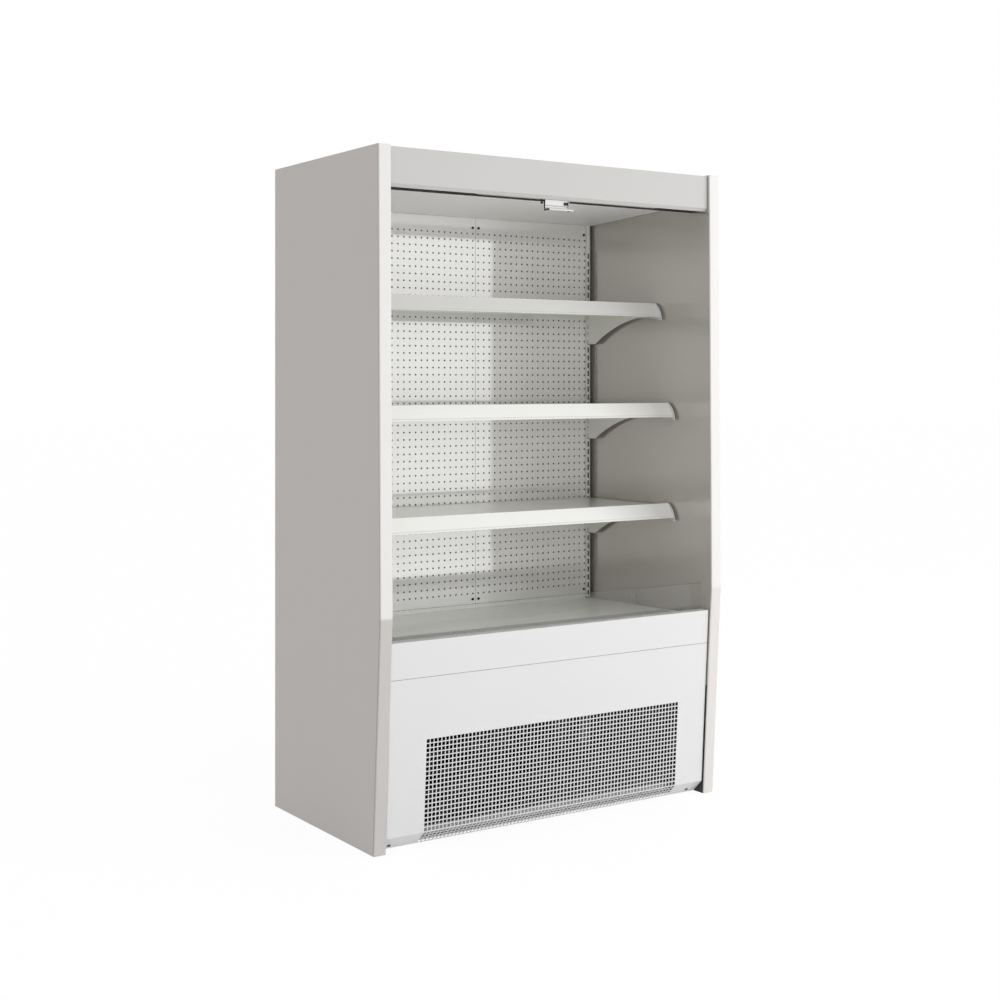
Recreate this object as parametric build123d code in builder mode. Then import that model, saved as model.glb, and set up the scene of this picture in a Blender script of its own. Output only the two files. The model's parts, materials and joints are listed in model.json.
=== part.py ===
from build123d import *
from math import atan2, cos, degrees, sin, sqrt
import os

# Open multideck display fridge, 1.13 m wide and 1.8 m high, with its own refrigeration below.
# X to the right, Y to the back, Z up; the origin is on the floor under the middle of the case.
# All lengths are in millimetres.

os.makedirs("parts", exist_ok=True)

# ---------------------------------------------------------------- case
CASE_WIDTH = 1132.0          # over both end walls
CASE_HEIGHT = 1800.0
CASE_DEPTH = 654.0           # knee of the end walls to the rear skin
END_THICKNESS = 35.0
BACK_PROUD = 46.0            # insulated back behind the end walls' rear edge
KNEE_HEIGHT = 603.0          # where the front edge of the end walls is furthest forward
TOP_SETBACK = 10.0           # front edge at the top, behind the knee
FOOT_SETBACK = 36.0          # front edge at the floor, behind the knee
SHEET = 1.0                  # painted steel sheet
PANEL_SHEET = 1.2            # front panels
TRIM_THICKNESS = 4.0         # plastic trim on the end walls' front edge
TRIM_ROUND = 2.5
TRIM_TONGUE_WIDTH = 6.0
TRIM_TONGUE_DEPTH = 12.0

# ---------------------------------------------------------------- insulated back and roof
BACK_FOAM = 30.0
ROOF_FOAM = 36.0
ROOF_DROP = 3.0              # roof below the top of the end walls
REAR_FLANGE = 25.0           # rear skin's side flanges in front of the end walls' rear edge
BACK_BOTTOM = 20.0           # lower edge of the rear skin
DUCT_DEPTH = 38.0            # air duct between the perforated panels and the back
LOUVRE_COUNT = 9
LOUVRE_LENGTH = 190.0
LOUVRE_HEIGHT = 7.0
LOUVRE_PITCH = 22.0
LOUVRE_SPREAD = 290.0        # centre distance of the three louvre columns

# ---------------------------------------------------------------- canopy and ceiling
CANOPY_SETBACK = 10.0        # canopy face behind the trim
CANOPY_BOTTOM = 1695.0
CANOPY_CHAMFER = 9.0
CANOPY_LIP = 10.0            # depth of the lip under the canopy
CANOPY_FLANGE = 37.0         # canopy's own part of the roof
CANOPY_END_GAP = 1.0
BLIND_SLOT = 12.0            # slot for the night blind behind the lip
OUTLET_DEPTH = 53.0          # honeycomb air outlet, front to back
OUTLET_THICKNESS = 20.0
OUTLET_BOTTOM = 1697.0
OUTLET_COLUMNS = 50
OUTLET_ROWS = 3
OUTLET_WALL = 2.0
CEILING_BACK_HEIGHT = 1699.0
CEILING_RISE = 24.5          # from the duct panels to the air outlet
CEILING_REAR_GAP = 2.0       # open joint between the ceiling and the duct panels

# ---------------------------------------------------------------- perforated duct panels and uprights
DUCT_SEAM_X = 92.5           # joint between the two duct panels
DUCT_SEAM_GAP = 1.0
DUCT_BOTTOM = 505.0
DUCT_HOLE = 12.0             # coarse pattern, one opening for a field of small holes
DUCT_HOLE_PITCH_X = 61.0
DUCT_HOLE_PITCH_Z = 64.5
DUCT_HOLES_UP = 17
DUCT_HOLE_MARGIN = 30.0
UPRIGHT_X = 515.0            # centre of the slots
UPRIGHT_WIDTH = 12.0
UPRIGHT_DEPTH = 10.0
UPRIGHT_SHEET = 1.5
SLOT_WIDTH = 5.5
SLOT_HEIGHT = 17.0
SLOT_PITCH = 25.0
SLOT_COUNT = 44
SLOT_FIRST = 518.0           # lower edge of the lowest slot
SCREW_RADIUS = 4.0
SCREW_HEAD = 2.0
SCREW_SHANK = 1.9
SCREW_FIT = 0.2
SCREW_LENGTH = 8.0
SCREW_INSET = 10.0
DUCT_SCREW_TOP_INSET = 30.0
DUCT_SCREW_LOW_INSET = 33.0
FLANGE_SCREW_X = (-505.0, 490.0)
FLANGE_SCREW_DROP = 10.0      # below the middle of the flange

# ---------------------------------------------------------------- shelves
SHELF_FIRST_SLOT = 9         # slot that carries the lowest shelf's lower hook
SHELF_STEP = 12              # slots from one shelf to the next
SHELF_COUNT = 3
HOOK_DROP = 94.0             # lower hook's slot edge below the shelf's top line
HOOK_STEP = 2                # slots between a bracket's two hooks
HOOK_NECK = 8.0
HOOK_TIP = 7.0
DECK_DROP = 6.0              # deck surface below the ticket strip's top line
SHELF_HALF_WIDTH = 521.0
SHELF_SHEET = 1.2
SHELF_FOLD = 22.0
SHELF_BACK_GAP = 5.0         # deck to uprights
SHELF_DEPTH = 382.0          # deck's rear edge to the ticket strip's top line
TOP_SHELF_DEPTH = 321.0
STRIP_HEIGHT = 42.0
STRIP_REACH = 25.0           # how far the strip's lower edge stands forward
STRIP_WALL = 2.0
STRIP_SEAT = 12.0            # strip's top rail over the deck
STRIP_LIP = 8.0
CAP_THICKNESS = 2.0
CAP_HEIGHT = 52.0            # bowed end caps, taller than the strip between them
CAP_REACH = 31.0
CAP_TAIL = 60.0              # length of the tail that runs back over the deck's edge
CAP_TAIL_DROP = 42.5
CAP_ARCH = 2.4               # hollow of the cap's lower edge
BRACKET_THICKNESS = 2.5
BRACKET_HEIGHT = 117.0       # below the shelf's top line
BRACKET_FOOT = 36.0          # flat lower end at the upright
BRACKET_ARC_RUN = 210.0
BRACKET_ARC_RISE = 75.0
BRACKET_ARC_SAG = 12.5
BRACKET_TIP_SETBACK = 30.0   # bracket's front end behind the strip's top line

# ---------------------------------------------------------------- well, base deck and glass
TANK_BOTTOM = 320.0          # underside of the insulated well
TANK_FLOOR = 35.0
WELL_FRONT = 65.0            # inside of the well's front wall behind the knee
RISER_TOP = 538.0
RISER_SEAM = 443.0           # joint of the riser panel and the lower front panel
PANEL_SETBACK = 8.0          # front panels behind the trim
PANEL_END_GAP = 3.0
CHANNEL_BASE = 520.0
CHANNEL_FLOOR = 4.0
CHANNEL_FRONT_WALL = 7.0
GLASS_BEHIND_KNEE = 49.0     # middle of the front glass behind the knee
GLASS_THICKNESS = 6.0
GLASS_FIT = 0.3              # clearance on each face
GLASS_TOP = 614.0
GLASS_END_GAP = 2.0
BASE_DECK_BACK_HEIGHT = 510.0
BASE_DECK_SLOPE = 0.02       # rises to the front
BASE_DECK_DEPTH = 365.0
BASE_DECK_FOLD = 18.0
BASE_DECK_SHEET = 1.5
LOOSE_GAP = 1.0              # around lift-out pieces
SEAT_GAP = 0.3               # under lift-out pieces
GRILLE_RIBS = 86
GRILLE_RIB = 5.5
GRILLE_BORDER = 12.0
LEDGE_WIDTH = 17.0
LEDGE_HEIGHT = 15.0
DRAIN_RADIUS = 12.0
DRAIN_WALL = 2.0
DRAIN_X = -200.0
DRAIN_Y = 60.0

# ---------------------------------------------------------------- lower front panel
PANEL_FOLD = 37.0            # height of the fold to the sloping flange
FLANGE_END_HEIGHT = 2.0
PANEL_RETURN = 15.0
VENT_X = 5.5                 # middle of the vent, right of the case's middle
VENT_HALF_WIDTH = 420.0
VENT_TOP = 280.0
VENT_COLUMNS = 28
VENT_ROWS = 8
VENT_BAR = 8.0

# ---------------------------------------------------------------- base and machine compartment
PAN_TOP = 44.0
PAN_HEIGHT = 24.0
PAN_SHEET = 2.0
PAN_FRONT = 72.0             # front edge of the pan behind the knee
FOOT_RADIUS = 20.0
FOOT_HEIGHT = 8.0
STUD_RADIUS = 5.0
FOOT_INSET_X = 60.0
FOOT_INSET_Y = 55.0
COMPRESSOR_X = 280.0
COMPRESSOR_Y = 110.0
COMPRESSOR_RADIUS = 80.0
COMPRESSOR_HEIGHT = 175.0
COMPRESSOR_CROWN = 38.0
COMPRESSOR_FOOT_SIZE = 190.0
COMPRESSOR_FOOT = 3.0
GROMMET_RADIUS = 11.0
GROMMET_HEIGHT = 12.0
GROMMET_INSET = 16.0
STUB_RADIUS = 7.0
STUB_LENGTH = 20.0
SUCTION_HEIGHT = 180.0
DISCHARGE_HEIGHT = 120.0
CONDENSER_X = -180.0
CONDENSER_WIDTH = 400.0
CONDENSER_HEIGHT = 250.0
CONDENSER_DEPTH = 40.0
CONDENSER_BEHIND_KNEE = 96.0
CONDENSER_FINS = 33
FIN = 1.0
TUBE_RADIUS = 5.0
CONDENSER_TUBES_UP = 5
SHROUD_SHEET = 1.5
SHROUD_DEPTH = 30.0
CONDENSER_FAN_RADIUS = 100.0
FAN_TIP_GAP = 5.0
SPOKE = 5.0
SHAFT_RADIUS = 4.0
SHAFT_FIT = 0.3
CONDENSER_HUB_RADIUS = 34.0
TRAY_X = -130.0
TRAY_Y = 80.0
TRAY_WIDTH = 360.0
TRAY_DEPTH = 200.0
TRAY_HEIGHT = 40.0
TRAY_WALL = 2.0
BOX_X = -430.0
BOX_Y = 150.0
BOX_WIDTH = 120.0
BOX_DEPTH = 140.0
BOX_HEIGHT = 170.0
BOX_WALL = 2.0
SWITCH_WIDTH = 22.0
SWITCH_HEIGHT = 30.0
SWITCH_DEPTH = 12.0
SWITCH_FIT = 0.8
SWITCH_AXIS_DEPTH = 5.0      # rocking axis behind the box's front face
SWITCH_PIN_RADIUS = 2.0
SWITCH_PIN_LENGTH = 2.0
SWITCH_LUG = 2.0
SWITCH_RISE = 120.0          # switch centre above the box's foot
GLAND_X = -430.0
GLAND_HEIGHT = 75.0
GLAND_RADIUS = 11.0
GLAND_BORE = 4.5
GLAND_FLANGE = 15.0
GLAND_FLANGE_THICKNESS = 3.0
GLAND_LENGTH = 24.0

# ---------------------------------------------------------------- evaporator
EVAPORATOR_WIDTH = 880.0
EVAPORATOR_DEPTH = 150.0
EVAPORATOR_HEIGHT = 110.0
EVAPORATOR_Y = 120.0
EVAPORATOR_LIFT = 18.0
EVAPORATOR_FINS = 45
EVAPORATOR_TUBES = 3
FAN_PLATE_Y = -40.0
FAN_PLATE_TOP = 512.0
EVAPORATOR_FAN_X = 220.0
EVAPORATOR_FAN_HEIGHT = 68.0     # above the well floor
EVAPORATOR_FAN_RADIUS = 55.0
EVAPORATOR_HUB_RADIUS = 20.0
EVAPORATOR_HUB_LENGTH = 22.0
BLADE_COUNT = 5
BLADE = 1.6
BLADE_PITCH = 32.0
BLADE_CHORD = 1.5            # times the hub radius
BLADE_ROOT = 1.2             # blade length times the reach beyond the hub, so that it enters the hub
PIPE_RADIUS = 5.0
PIPE_BEND = 25.0
PIPE_HOLE_GAP = 3.0
PIPE_X = 490.0
SUCTION_PIPE_Y = 110.0
LIQUID_PIPE_Y = 60.0
LIQUID_HEIGHT = 90.0

# ---------------------------------------------------------------- night blind
TUBE_OUTER = 16.0
ROLL_OUTER = 19.5
ROLLER_HEIGHT = 1768.0
ROLLER_END_GAP = 5.0
ROLLER_REAR_GAP = 8.0        # wound cloth to the roof insulation
PIN_RADIUS = 4.0
PIN_FIT = 0.3
BRACKET_PLATE = 4.0
BRACKET_SIZE = 38.0
CLOTH = 0.6
CLOTH_HALF_WIDTH = 505.0
BAR_THICKNESS = 8.0
BAR_TOP = 1712.0
BAR_END_BOTTOM = 1697.5
BAR_MIDDLE_BOTTOM = 1694.0
BAR_HALF_WIDTH = 515.0
BAR_MIDDLE_LEFT = -243.0
BAR_MIDDLE_RIGHT = 343.0
BAR_TAPER = 30.0
HANDLE_WIDTH = 80.0
HANDLE_PLATE = 2.0
HANDLE_BOTTOM = 1673.0
HANDLE_SLIT = 2.5            # slit that parts the plate's lower bead
HANDLE_SLIT_HEIGHT = 1678.0
HANDLE_BAR_RADIUS = 2.5
HANDLE_BAR_HEIGHT = 1666.5
HANDLE_BAR_REACH = 20.0      # finger bar in front of the plate
HANDLE_ARM = 6.0             # width of the arms in side view

# ---------------------------------------------------------------- places that follow from the sizes
FRONT_Y = -CASE_DEPTH / 2
REAR_Y = CASE_DEPTH / 2
END_REAR_Y = REAR_Y - BACK_PROUD
INNER_X = CASE_WIDTH / 2 - END_THICKNESS
ROOF_TOP = CASE_HEIGHT - ROOF_DROP
REAR_SKIN_FRONT_Y = REAR_Y - SHEET
BACK_FOAM_FRONT_Y = REAR_SKIN_FRONT_Y - BACK_FOAM
BACK_LINER_FRONT_Y = BACK_FOAM_FRONT_Y - SHEET
DUCT_FRONT_Y = BACK_LINER_FRONT_Y - DUCT_DEPTH - SHEET
LINED_X = INNER_X - SHEET
CANOPY_Y = FRONT_Y + TOP_SETBACK + CANOPY_SETBACK
CANOPY_FLANGE_Y = CANOPY_Y + CANOPY_FLANGE
LIP_REAR_Y = CANOPY_Y + CANOPY_LIP
OUTLET_FRONT_Y = LIP_REAR_Y + BLIND_SLOT
OUTLET_REAR_Y = OUTLET_FRONT_Y + OUTLET_DEPTH
CLOTH_Y = LIP_REAR_Y + BLIND_SLOT / 2
ROLLER_Y = CLOTH_Y + ROLL_OUTER
ROOF_FOAM_BOTTOM = ROOF_TOP - SHEET - ROOF_FOAM
ROOF_FOAM_FRONT_Y = ROLLER_Y + ROLL_OUTER + ROLLER_REAR_GAP
WELL_FRONT_Y = FRONT_Y + WELL_FRONT
WELL_FLOOR = TANK_BOTTOM + TANK_FLOOR + SHEET
GLASS_Y = FRONT_Y + GLASS_BEHIND_KNEE
CHANNEL_FRONT_Y = GLASS_Y - GLASS_THICKNESS / 2 - GLASS_FIT - CHANNEL_FRONT_WALL
CHANNEL_REAR_Y = WELL_FRONT_Y + SHEET
BASE_DECK_REAR_Y = DUCT_FRONT_Y - SCREW_HEAD - LOOSE_GAP
BASE_DECK_FRONT_Y = BASE_DECK_REAR_Y - BASE_DECK_DEPTH
GRILLE_REAR_Y = BASE_DECK_FRONT_Y - LOOSE_GAP
GRILLE_FRONT_Y = CHANNEL_REAR_Y + LOOSE_GAP
UPRIGHT_FRONT_Y = DUCT_FRONT_Y - UPRIGHT_DEPTH
LOOSE_HALF_WIDTH = INNER_X - 2 * LOOSE_GAP
PAN_FRONT_Y = FRONT_Y + PAN_FRONT
FLANGE_RUN = PANEL_FOLD - FLANGE_END_HEIGHT      # the flange slopes at 45 degrees
CONDENSER_Y = FRONT_Y + CONDENSER_BEHIND_KNEE + CONDENSER_DEPTH / 2
CONDENSER_MIDDLE = PAN_TOP + CONDENSER_HEIGHT / 2
EVAPORATOR_FAN_Z = WELL_FLOOR + EVAPORATOR_FAN_HEIGHT
SIDES = (("left", -1), ("right", 1))


def front_edge(z):
    """Y of the end walls' front edge at height z: it leans back above and below the knee."""
    if z >= KNEE_HEIGHT:
        return FRONT_Y + TOP_SETBACK * (z - KNEE_HEIGHT) / (CASE_HEIGHT - KNEE_HEIGHT)
    return FRONT_Y + FOOT_SETBACK * (KNEE_HEIGHT - z) / KNEE_HEIGHT


def panel_face(z):
    """Y of the front panels' outer face at height z."""
    return front_edge(z) + PANEL_SETBACK


def deck_height(y):
    """Height of the base deck's sloping top at depth y."""
    return BASE_DECK_BACK_HEIGHT + BASE_DECK_SLOPE * (DUCT_FRONT_Y - y)


def ceiling_height(y):
    """Height of the ceiling panel's underside at depth y."""
    share = (DUCT_FRONT_Y - y) / (DUCT_FRONT_Y - OUTLET_REAR_Y)
    return CEILING_BACK_HEIGHT + CEILING_RISE * share


def outline(points):
    """Closed flat face through corner points."""
    with BuildSketch() as shape:
        with BuildLine():
            Polyline(*points, close=True)
        make_face()
    return shape.sketch


def sheet_section(points, thickness, side):
    """Section of a folded sheet: an open line of corner points thickened to one side."""
    with BuildSketch() as section:
        with BuildLine():
            Polyline(*points)
            offset(amount=thickness, side=side, kind=Kind.INTERSECTION)
        make_face()
    return section.sketch


def end_outline(front_gap):
    """Side view of an end wall whose front edge lies front_gap behind the trim's face."""
    return outline([
        (END_REAR_Y, 0),
        (END_REAR_Y, CASE_HEIGHT),
        (front_edge(CASE_HEIGHT) + front_gap, CASE_HEIGHT),
        (FRONT_Y + front_gap, KNEE_HEIGHT),
        (front_edge(0) + front_gap, 0),
    ])


# ================================================================ end walls
for side_name, side in SIDES:
    with BuildPart() as end_skin:
        with BuildSketch(Plane.YZ.offset(side * (CASE_WIDTH / 2 - SHEET))):
            add(end_outline(TRIM_THICKNESS))
        extrude(amount=side * SHEET)
    end_skin.part.label = f"{side_name}_end_skin"
    export_step(end_skin.part, f"parts/{side_name}_end_skin.step")

    with BuildPart() as end_core:
        with BuildSketch(Plane.YZ.offset(side * (INNER_X + SHEET))):
            add(end_outline(TRIM_THICKNESS))
        extrude(amount=side * (END_THICKNESS - 2 * SHEET))
        with BuildSketch(Plane.YZ.offset(side * (INNER_X + (END_THICKNESS - TRIM_TONGUE_WIDTH) / 2))):
            add(end_outline(TRIM_THICKNESS))
            add(end_outline(TRIM_THICKNESS + TRIM_TONGUE_DEPTH), mode=Mode.SUBTRACT)
        extrude(amount=side * TRIM_TONGUE_WIDTH, mode=Mode.SUBTRACT)
    end_core.part.label = f"{side_name}_end_core"
    export_step(end_core.part, f"parts/{side_name}_end_core.step")

    with BuildPart() as end_liner:
        with BuildSketch(Plane.YZ.offset(side * INNER_X)):
            add(end_outline(TRIM_THICKNESS))
        extrude(amount=side * SHEET)
    end_liner.part.label = f"{side_name}_end_liner"
    export_step(end_liner.part, f"parts/{side_name}_end_liner.step")

# Edge trims: rounded strips over the walls' full thickness, each with a tongue in the core's groove
with BuildPart() as edge_trims:
    for side_name, side in SIDES:
        with BuildSketch(Plane.YZ.offset(side * INNER_X)):
            add(end_outline(0))
            add(end_outline(TRIM_THICKNESS), mode=Mode.SUBTRACT)
        extrude(amount=side * END_THICKNESS)
    face_edges = edge_trims.edges().filter_by(Axis.X, reverse=True).filter_by(
        lambda edge: edge.length > TRIM_THICKNESS * 2
        and abs((edge @ 0.5).Y - front_edge((edge @ 0.5).Z)) < TRIM_THICKNESS / 4)
    fillet(face_edges, TRIM_ROUND)
    for side_name, side in SIDES:
        with BuildSketch(Plane.YZ.offset(side * (INNER_X + (END_THICKNESS - TRIM_TONGUE_WIDTH) / 2))):
            add(end_outline(TRIM_THICKNESS))
            add(end_outline(TRIM_THICKNESS + TRIM_TONGUE_DEPTH), mode=Mode.SUBTRACT)
        extrude(amount=side * TRIM_TONGUE_WIDTH)
edge_trims.part.label = "edge_trims"
export_step(edge_trims.part, "parts/edge_trims.step")


# ================================================================ back and roof
with BuildPart() as rear_skin:
    with BuildSketch(Plane.XY.offset(BACK_BOTTOM)):
        add(sheet_section([
            (-INNER_X, END_REAR_Y - REAR_FLANGE),
            (-INNER_X, REAR_Y),
            (INNER_X, REAR_Y),
            (INNER_X, END_REAR_Y - REAR_FLANGE),
        ], SHEET, Side.RIGHT))
    extrude(amount=ROOF_TOP - SHEET - BACK_BOTTOM)
    louvre_middle = (PAN_TOP + TANK_BOTTOM) / 2
    with BuildSketch(Plane.XZ.offset(-REAR_Y)):
        with Locations((0, louvre_middle)):
            with GridLocations(LOUVRE_SPREAD, LOUVRE_PITCH, 3, LOUVRE_COUNT):
                SlotOverall(LOUVRE_LENGTH, LOUVRE_HEIGHT)
        with Locations((GLAND_X, GLAND_HEIGHT)):
            Circle(GLAND_RADIUS)
    extrude(amount=SHEET, mode=Mode.SUBTRACT)
rear_skin.part.label = "rear_skin"
export_step(rear_skin.part, "parts/rear_skin.step")

# One foaming of the back and the roof, in side view
with BuildPart() as shell_insulation:
    with BuildSketch(Plane.YZ.offset(-LINED_X)):
        add(outline([
            (REAR_SKIN_FRONT_Y, TANK_BOTTOM),
            (REAR_SKIN_FRONT_Y, ROOF_TOP - SHEET),
            (ROOF_FOAM_FRONT_Y, ROOF_TOP - SHEET),
            (ROOF_FOAM_FRONT_Y, ROOF_FOAM_BOTTOM),
            (BACK_FOAM_FRONT_Y, ROOF_FOAM_BOTTOM),
            (BACK_FOAM_FRONT_Y, TANK_BOTTOM),
        ]))
    extrude(amount=2 * LINED_X)
shell_insulation.part.label = "shell_insulation"
export_step(shell_insulation.part, "parts/shell_insulation.step")

with BuildPart() as duct_liner:
    with BuildSketch(Plane.YZ.offset(-LINED_X)):
        add(sheet_section([
            (ROOF_FOAM_FRONT_Y, ROOF_FOAM_BOTTOM),
            (BACK_FOAM_FRONT_Y, ROOF_FOAM_BOTTOM),
            (BACK_FOAM_FRONT_Y, WELL_FLOOR),
        ], SHEET, Side.RIGHT))
    extrude(amount=2 * LINED_X)
duct_liner.part.label = "duct_liner"
export_step(duct_liner.part, "parts/duct_liner.step")

with BuildPart() as roof_skin:
    with BuildSketch(Plane.XY.offset(ROOF_TOP - SHEET)):
        with Locations((0, (CANOPY_FLANGE_Y + REAR_Y) / 2)):
            Rectangle(2 * INNER_X, REAR_Y - CANOPY_FLANGE_Y)
    extrude(amount=SHEET)
roof_skin.part.label = "roof_skin"
export_step(roof_skin.part, "parts/roof_skin.step")


# ================================================================ canopy, air outlet and ceiling
CANOPY_HALF = INNER_X - CANOPY_END_GAP
with BuildPart() as canopy_front:
    with BuildSketch(Plane.YZ.offset(-CANOPY_HALF)):
        add(sheet_section([
            (LIP_REAR_Y, CANOPY_BOTTOM),
            (CANOPY_Y + CANOPY_CHAMFER, CANOPY_BOTTOM),
            (CANOPY_Y, CANOPY_BOTTOM + CANOPY_CHAMFER),
            (CANOPY_Y, ROOF_TOP),
            (CANOPY_FLANGE_Y, ROOF_TOP),
        ], SHEET, Side.RIGHT))
    extrude(amount=2 * CANOPY_HALF)
canopy_front.part.label = "canopy_front"
export_step(canopy_front.part, "parts/canopy_front.step")

with BuildPart() as air_outlet_grille:
    cell_x = 2 * (INNER_X - OUTLET_WALL) / OUTLET_COLUMNS
    cell_y = (OUTLET_DEPTH - OUTLET_WALL) / OUTLET_ROWS
    with BuildSketch(Plane.XY.offset(OUTLET_BOTTOM)):
        with Locations((0, (OUTLET_FRONT_Y + OUTLET_REAR_Y) / 2)):
            Rectangle(2 * INNER_X, OUTLET_DEPTH)
            with GridLocations(cell_x, cell_y, OUTLET_COLUMNS, OUTLET_ROWS):
                Rectangle(cell_x - OUTLET_WALL, cell_y - OUTLET_WALL, mode=Mode.SUBTRACT)
    extrude(amount=OUTLET_THICKNESS)
air_outlet_grille.part.label = "air_outlet_grille"
export_step(air_outlet_grille.part, "parts/air_outlet_grille.step")

with BuildPart() as ceiling_panel:
    with BuildSketch(Plane.YZ.offset(-INNER_X)):
        add(sheet_section([
            (DUCT_FRONT_Y - CEILING_REAR_GAP, ceiling_height(DUCT_FRONT_Y - CEILING_REAR_GAP)),
            (OUTLET_REAR_Y + SHEET, ceiling_height(OUTLET_REAR_Y)),
            (OUTLET_REAR_Y + SHEET, OUTLET_BOTTOM),
        ], SHEET, Side.RIGHT))
    extrude(amount=2 * INNER_X)
ceiling_panel.part.label = "ceiling_panel"
export_step(ceiling_panel.part, "parts/ceiling_panel.step")


# ================================================================ perforated duct panels and uprights
DUCT_LEFT_X = DUCT_SEAM_X - DUCT_SEAM_GAP / 2
DUCT_RIGHT_X = DUCT_SEAM_X + DUCT_SEAM_GAP / 2
DUCT_END_X = UPRIGHT_X + UPRIGHT_WIDTH / 2 - UPRIGHT_SHEET
DUCT_OUTER_SCREW_X = UPRIGHT_X - UPRIGHT_WIDTH / 2 - SCREW_RADIUS - LOOSE_GAP
DUCT_SCREW_HEIGHTS = (CEILING_BACK_HEIGHT - DUCT_SCREW_TOP_INSET, DUCT_BOTTOM + DUCT_SCREW_LOW_INSET)


def duct_panel(x_low, x_high, screw_x):
    """Perforated sheet from x_low to x_high, from the base deck to the ceiling, with screw holes."""
    width = x_high - x_low
    height = CEILING_BACK_HEIGHT - DUCT_BOTTOM
    middle = ((x_low + x_high) / 2, (DUCT_BOTTOM + CEILING_BACK_HEIGHT) / 2)
    columns = int((width - 2 * DUCT_HOLE_MARGIN) // DUCT_HOLE_PITCH_X) + 1
    with BuildPart() as panel:
        with BuildSketch(Plane.XZ.offset(-DUCT_FRONT_Y)):
            with Locations(middle):
                Rectangle(width, height)
                with GridLocations(DUCT_HOLE_PITCH_X, DUCT_HOLE_PITCH_Z, columns, DUCT_HOLES_UP):
                    Rectangle(DUCT_HOLE, DUCT_HOLE, mode=Mode.SUBTRACT)
            with Locations(*[(x, height) for x in screw_x for height in DUCT_SCREW_HEIGHTS]):
                Circle(SCREW_SHANK + SCREW_FIT, mode=Mode.SUBTRACT)
        extrude(amount=-SHEET)
    return panel.part


LEFT_SCREW_X = (-DUCT_OUTER_SCREW_X, DUCT_LEFT_X - SCREW_INSET)
duct_panel_left = duct_panel(-DUCT_END_X, DUCT_LEFT_X, LEFT_SCREW_X)
duct_panel_left.label = "duct_panel_left"
export_step(duct_panel_left, "parts/duct_panel_left.step")

RIGHT_SCREW_X = (DUCT_RIGHT_X + SCREW_INSET, DUCT_OUTER_SCREW_X)
duct_panel_right = duct_panel(DUCT_RIGHT_X, DUCT_END_X, RIGHT_SCREW_X)
duct_panel_right.label = "duct_panel_right"
export_step(duct_panel_right, "parts/duct_panel_right.step")

# Each upright's outer leg runs back past the duct panels' ends to the back liner and carries both
with BuildPart() as slotted_uprights:
    upright_bottom = SLOT_FIRST - (SLOT_PITCH - SLOT_HEIGHT) / 2
    for side_name, side in SIDES:
        inner_x = side * (UPRIGHT_X - UPRIGHT_WIDTH / 2)
        outer_x = side * (UPRIGHT_X + UPRIGHT_WIDTH / 2)
        with BuildSketch(Plane.XY.offset(upright_bottom)):
            add(sheet_section([
                (inner_x, DUCT_FRONT_Y),
                (inner_x, UPRIGHT_FRONT_Y),
                (outer_x, UPRIGHT_FRONT_Y),
                (outer_x, BACK_LINER_FRONT_Y),
            ], UPRIGHT_SHEET, Side.LEFT if side > 0 else Side.RIGHT))
        extrude(amount=CEILING_BACK_HEIGHT - upright_bottom)
    with BuildSketch(Plane.XZ.offset(-UPRIGHT_FRONT_Y)):
        with Locations((0, upright_bottom + SLOT_COUNT * SLOT_PITCH / 2)):
            with GridLocations(2 * UPRIGHT_X, SLOT_PITCH, 2, SLOT_COUNT):
                Rectangle(SLOT_WIDTH, SLOT_HEIGHT)
    extrude(amount=-UPRIGHT_SHEET, mode=Mode.SUBTRACT)
slotted_uprights.part.label = "slotted_uprights"
export_step(slotted_uprights.part, "parts/slotted_uprights.step")


# ================================================================ shelves
def slot_edge(number):
    """Height of the lower edge of a numbered upright slot."""
    return SLOT_FIRST + number * SLOT_PITCH


def ticket_strip(front_y, top):
    """Ticket strip: sloping flat face, top rail over the deck, web and lower lip."""
    low = top - STRIP_HEIGHT
    foot_y = front_y - STRIP_REACH
    seat_y = front_y + STRIP_SEAT
    with BuildPart() as strip:
        with BuildSketch(Plane.YZ.offset(-SHELF_HALF_WIDTH)):
            add(sheet_section([
                (foot_y + STRIP_LIP, low),
                (foot_y, low),
                (front_y, top),
                (seat_y, top),
                (seat_y, top - DECK_DROP),
            ], STRIP_WALL, Side.RIGHT))
        extrude(amount=2 * SHELF_HALF_WIDTH)
    return strip.part


def shelf_deck(front_y, top):
    """Pressed shelf deck: a flat top with its edges folded down."""
    back_y = UPRIGHT_FRONT_Y - SHELF_BACK_GAP
    fold_y = front_y + STRIP_SEAT - STRIP_WALL
    surface = top - DECK_DROP
    with BuildPart() as deck:
        with BuildSketch(Plane.XY.offset(surface)):
            with Locations((0, (fold_y + back_y) / 2)):
                Rectangle(2 * SHELF_HALF_WIDTH, back_y - fold_y)
        extrude(amount=-SHELF_FOLD)
        with BuildSketch(Plane.XY.offset(surface - SHELF_SHEET)):
            with Locations((0, (fold_y + back_y) / 2)):
                Rectangle(2 * (SHELF_HALF_WIDTH - SHELF_SHEET), back_y - fold_y - 2 * SHELF_SHEET)
            with Locations((0, back_y)):
                with GridLocations(2 * UPRIGHT_X, 1, 2, 1):
                    Rectangle(BRACKET_THICKNESS + 2 * SEAT_GAP, 4 * SHELF_SHEET)
        extrude(amount=-SHELF_FOLD, mode=Mode.SUBTRACT)
    return deck.part


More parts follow.
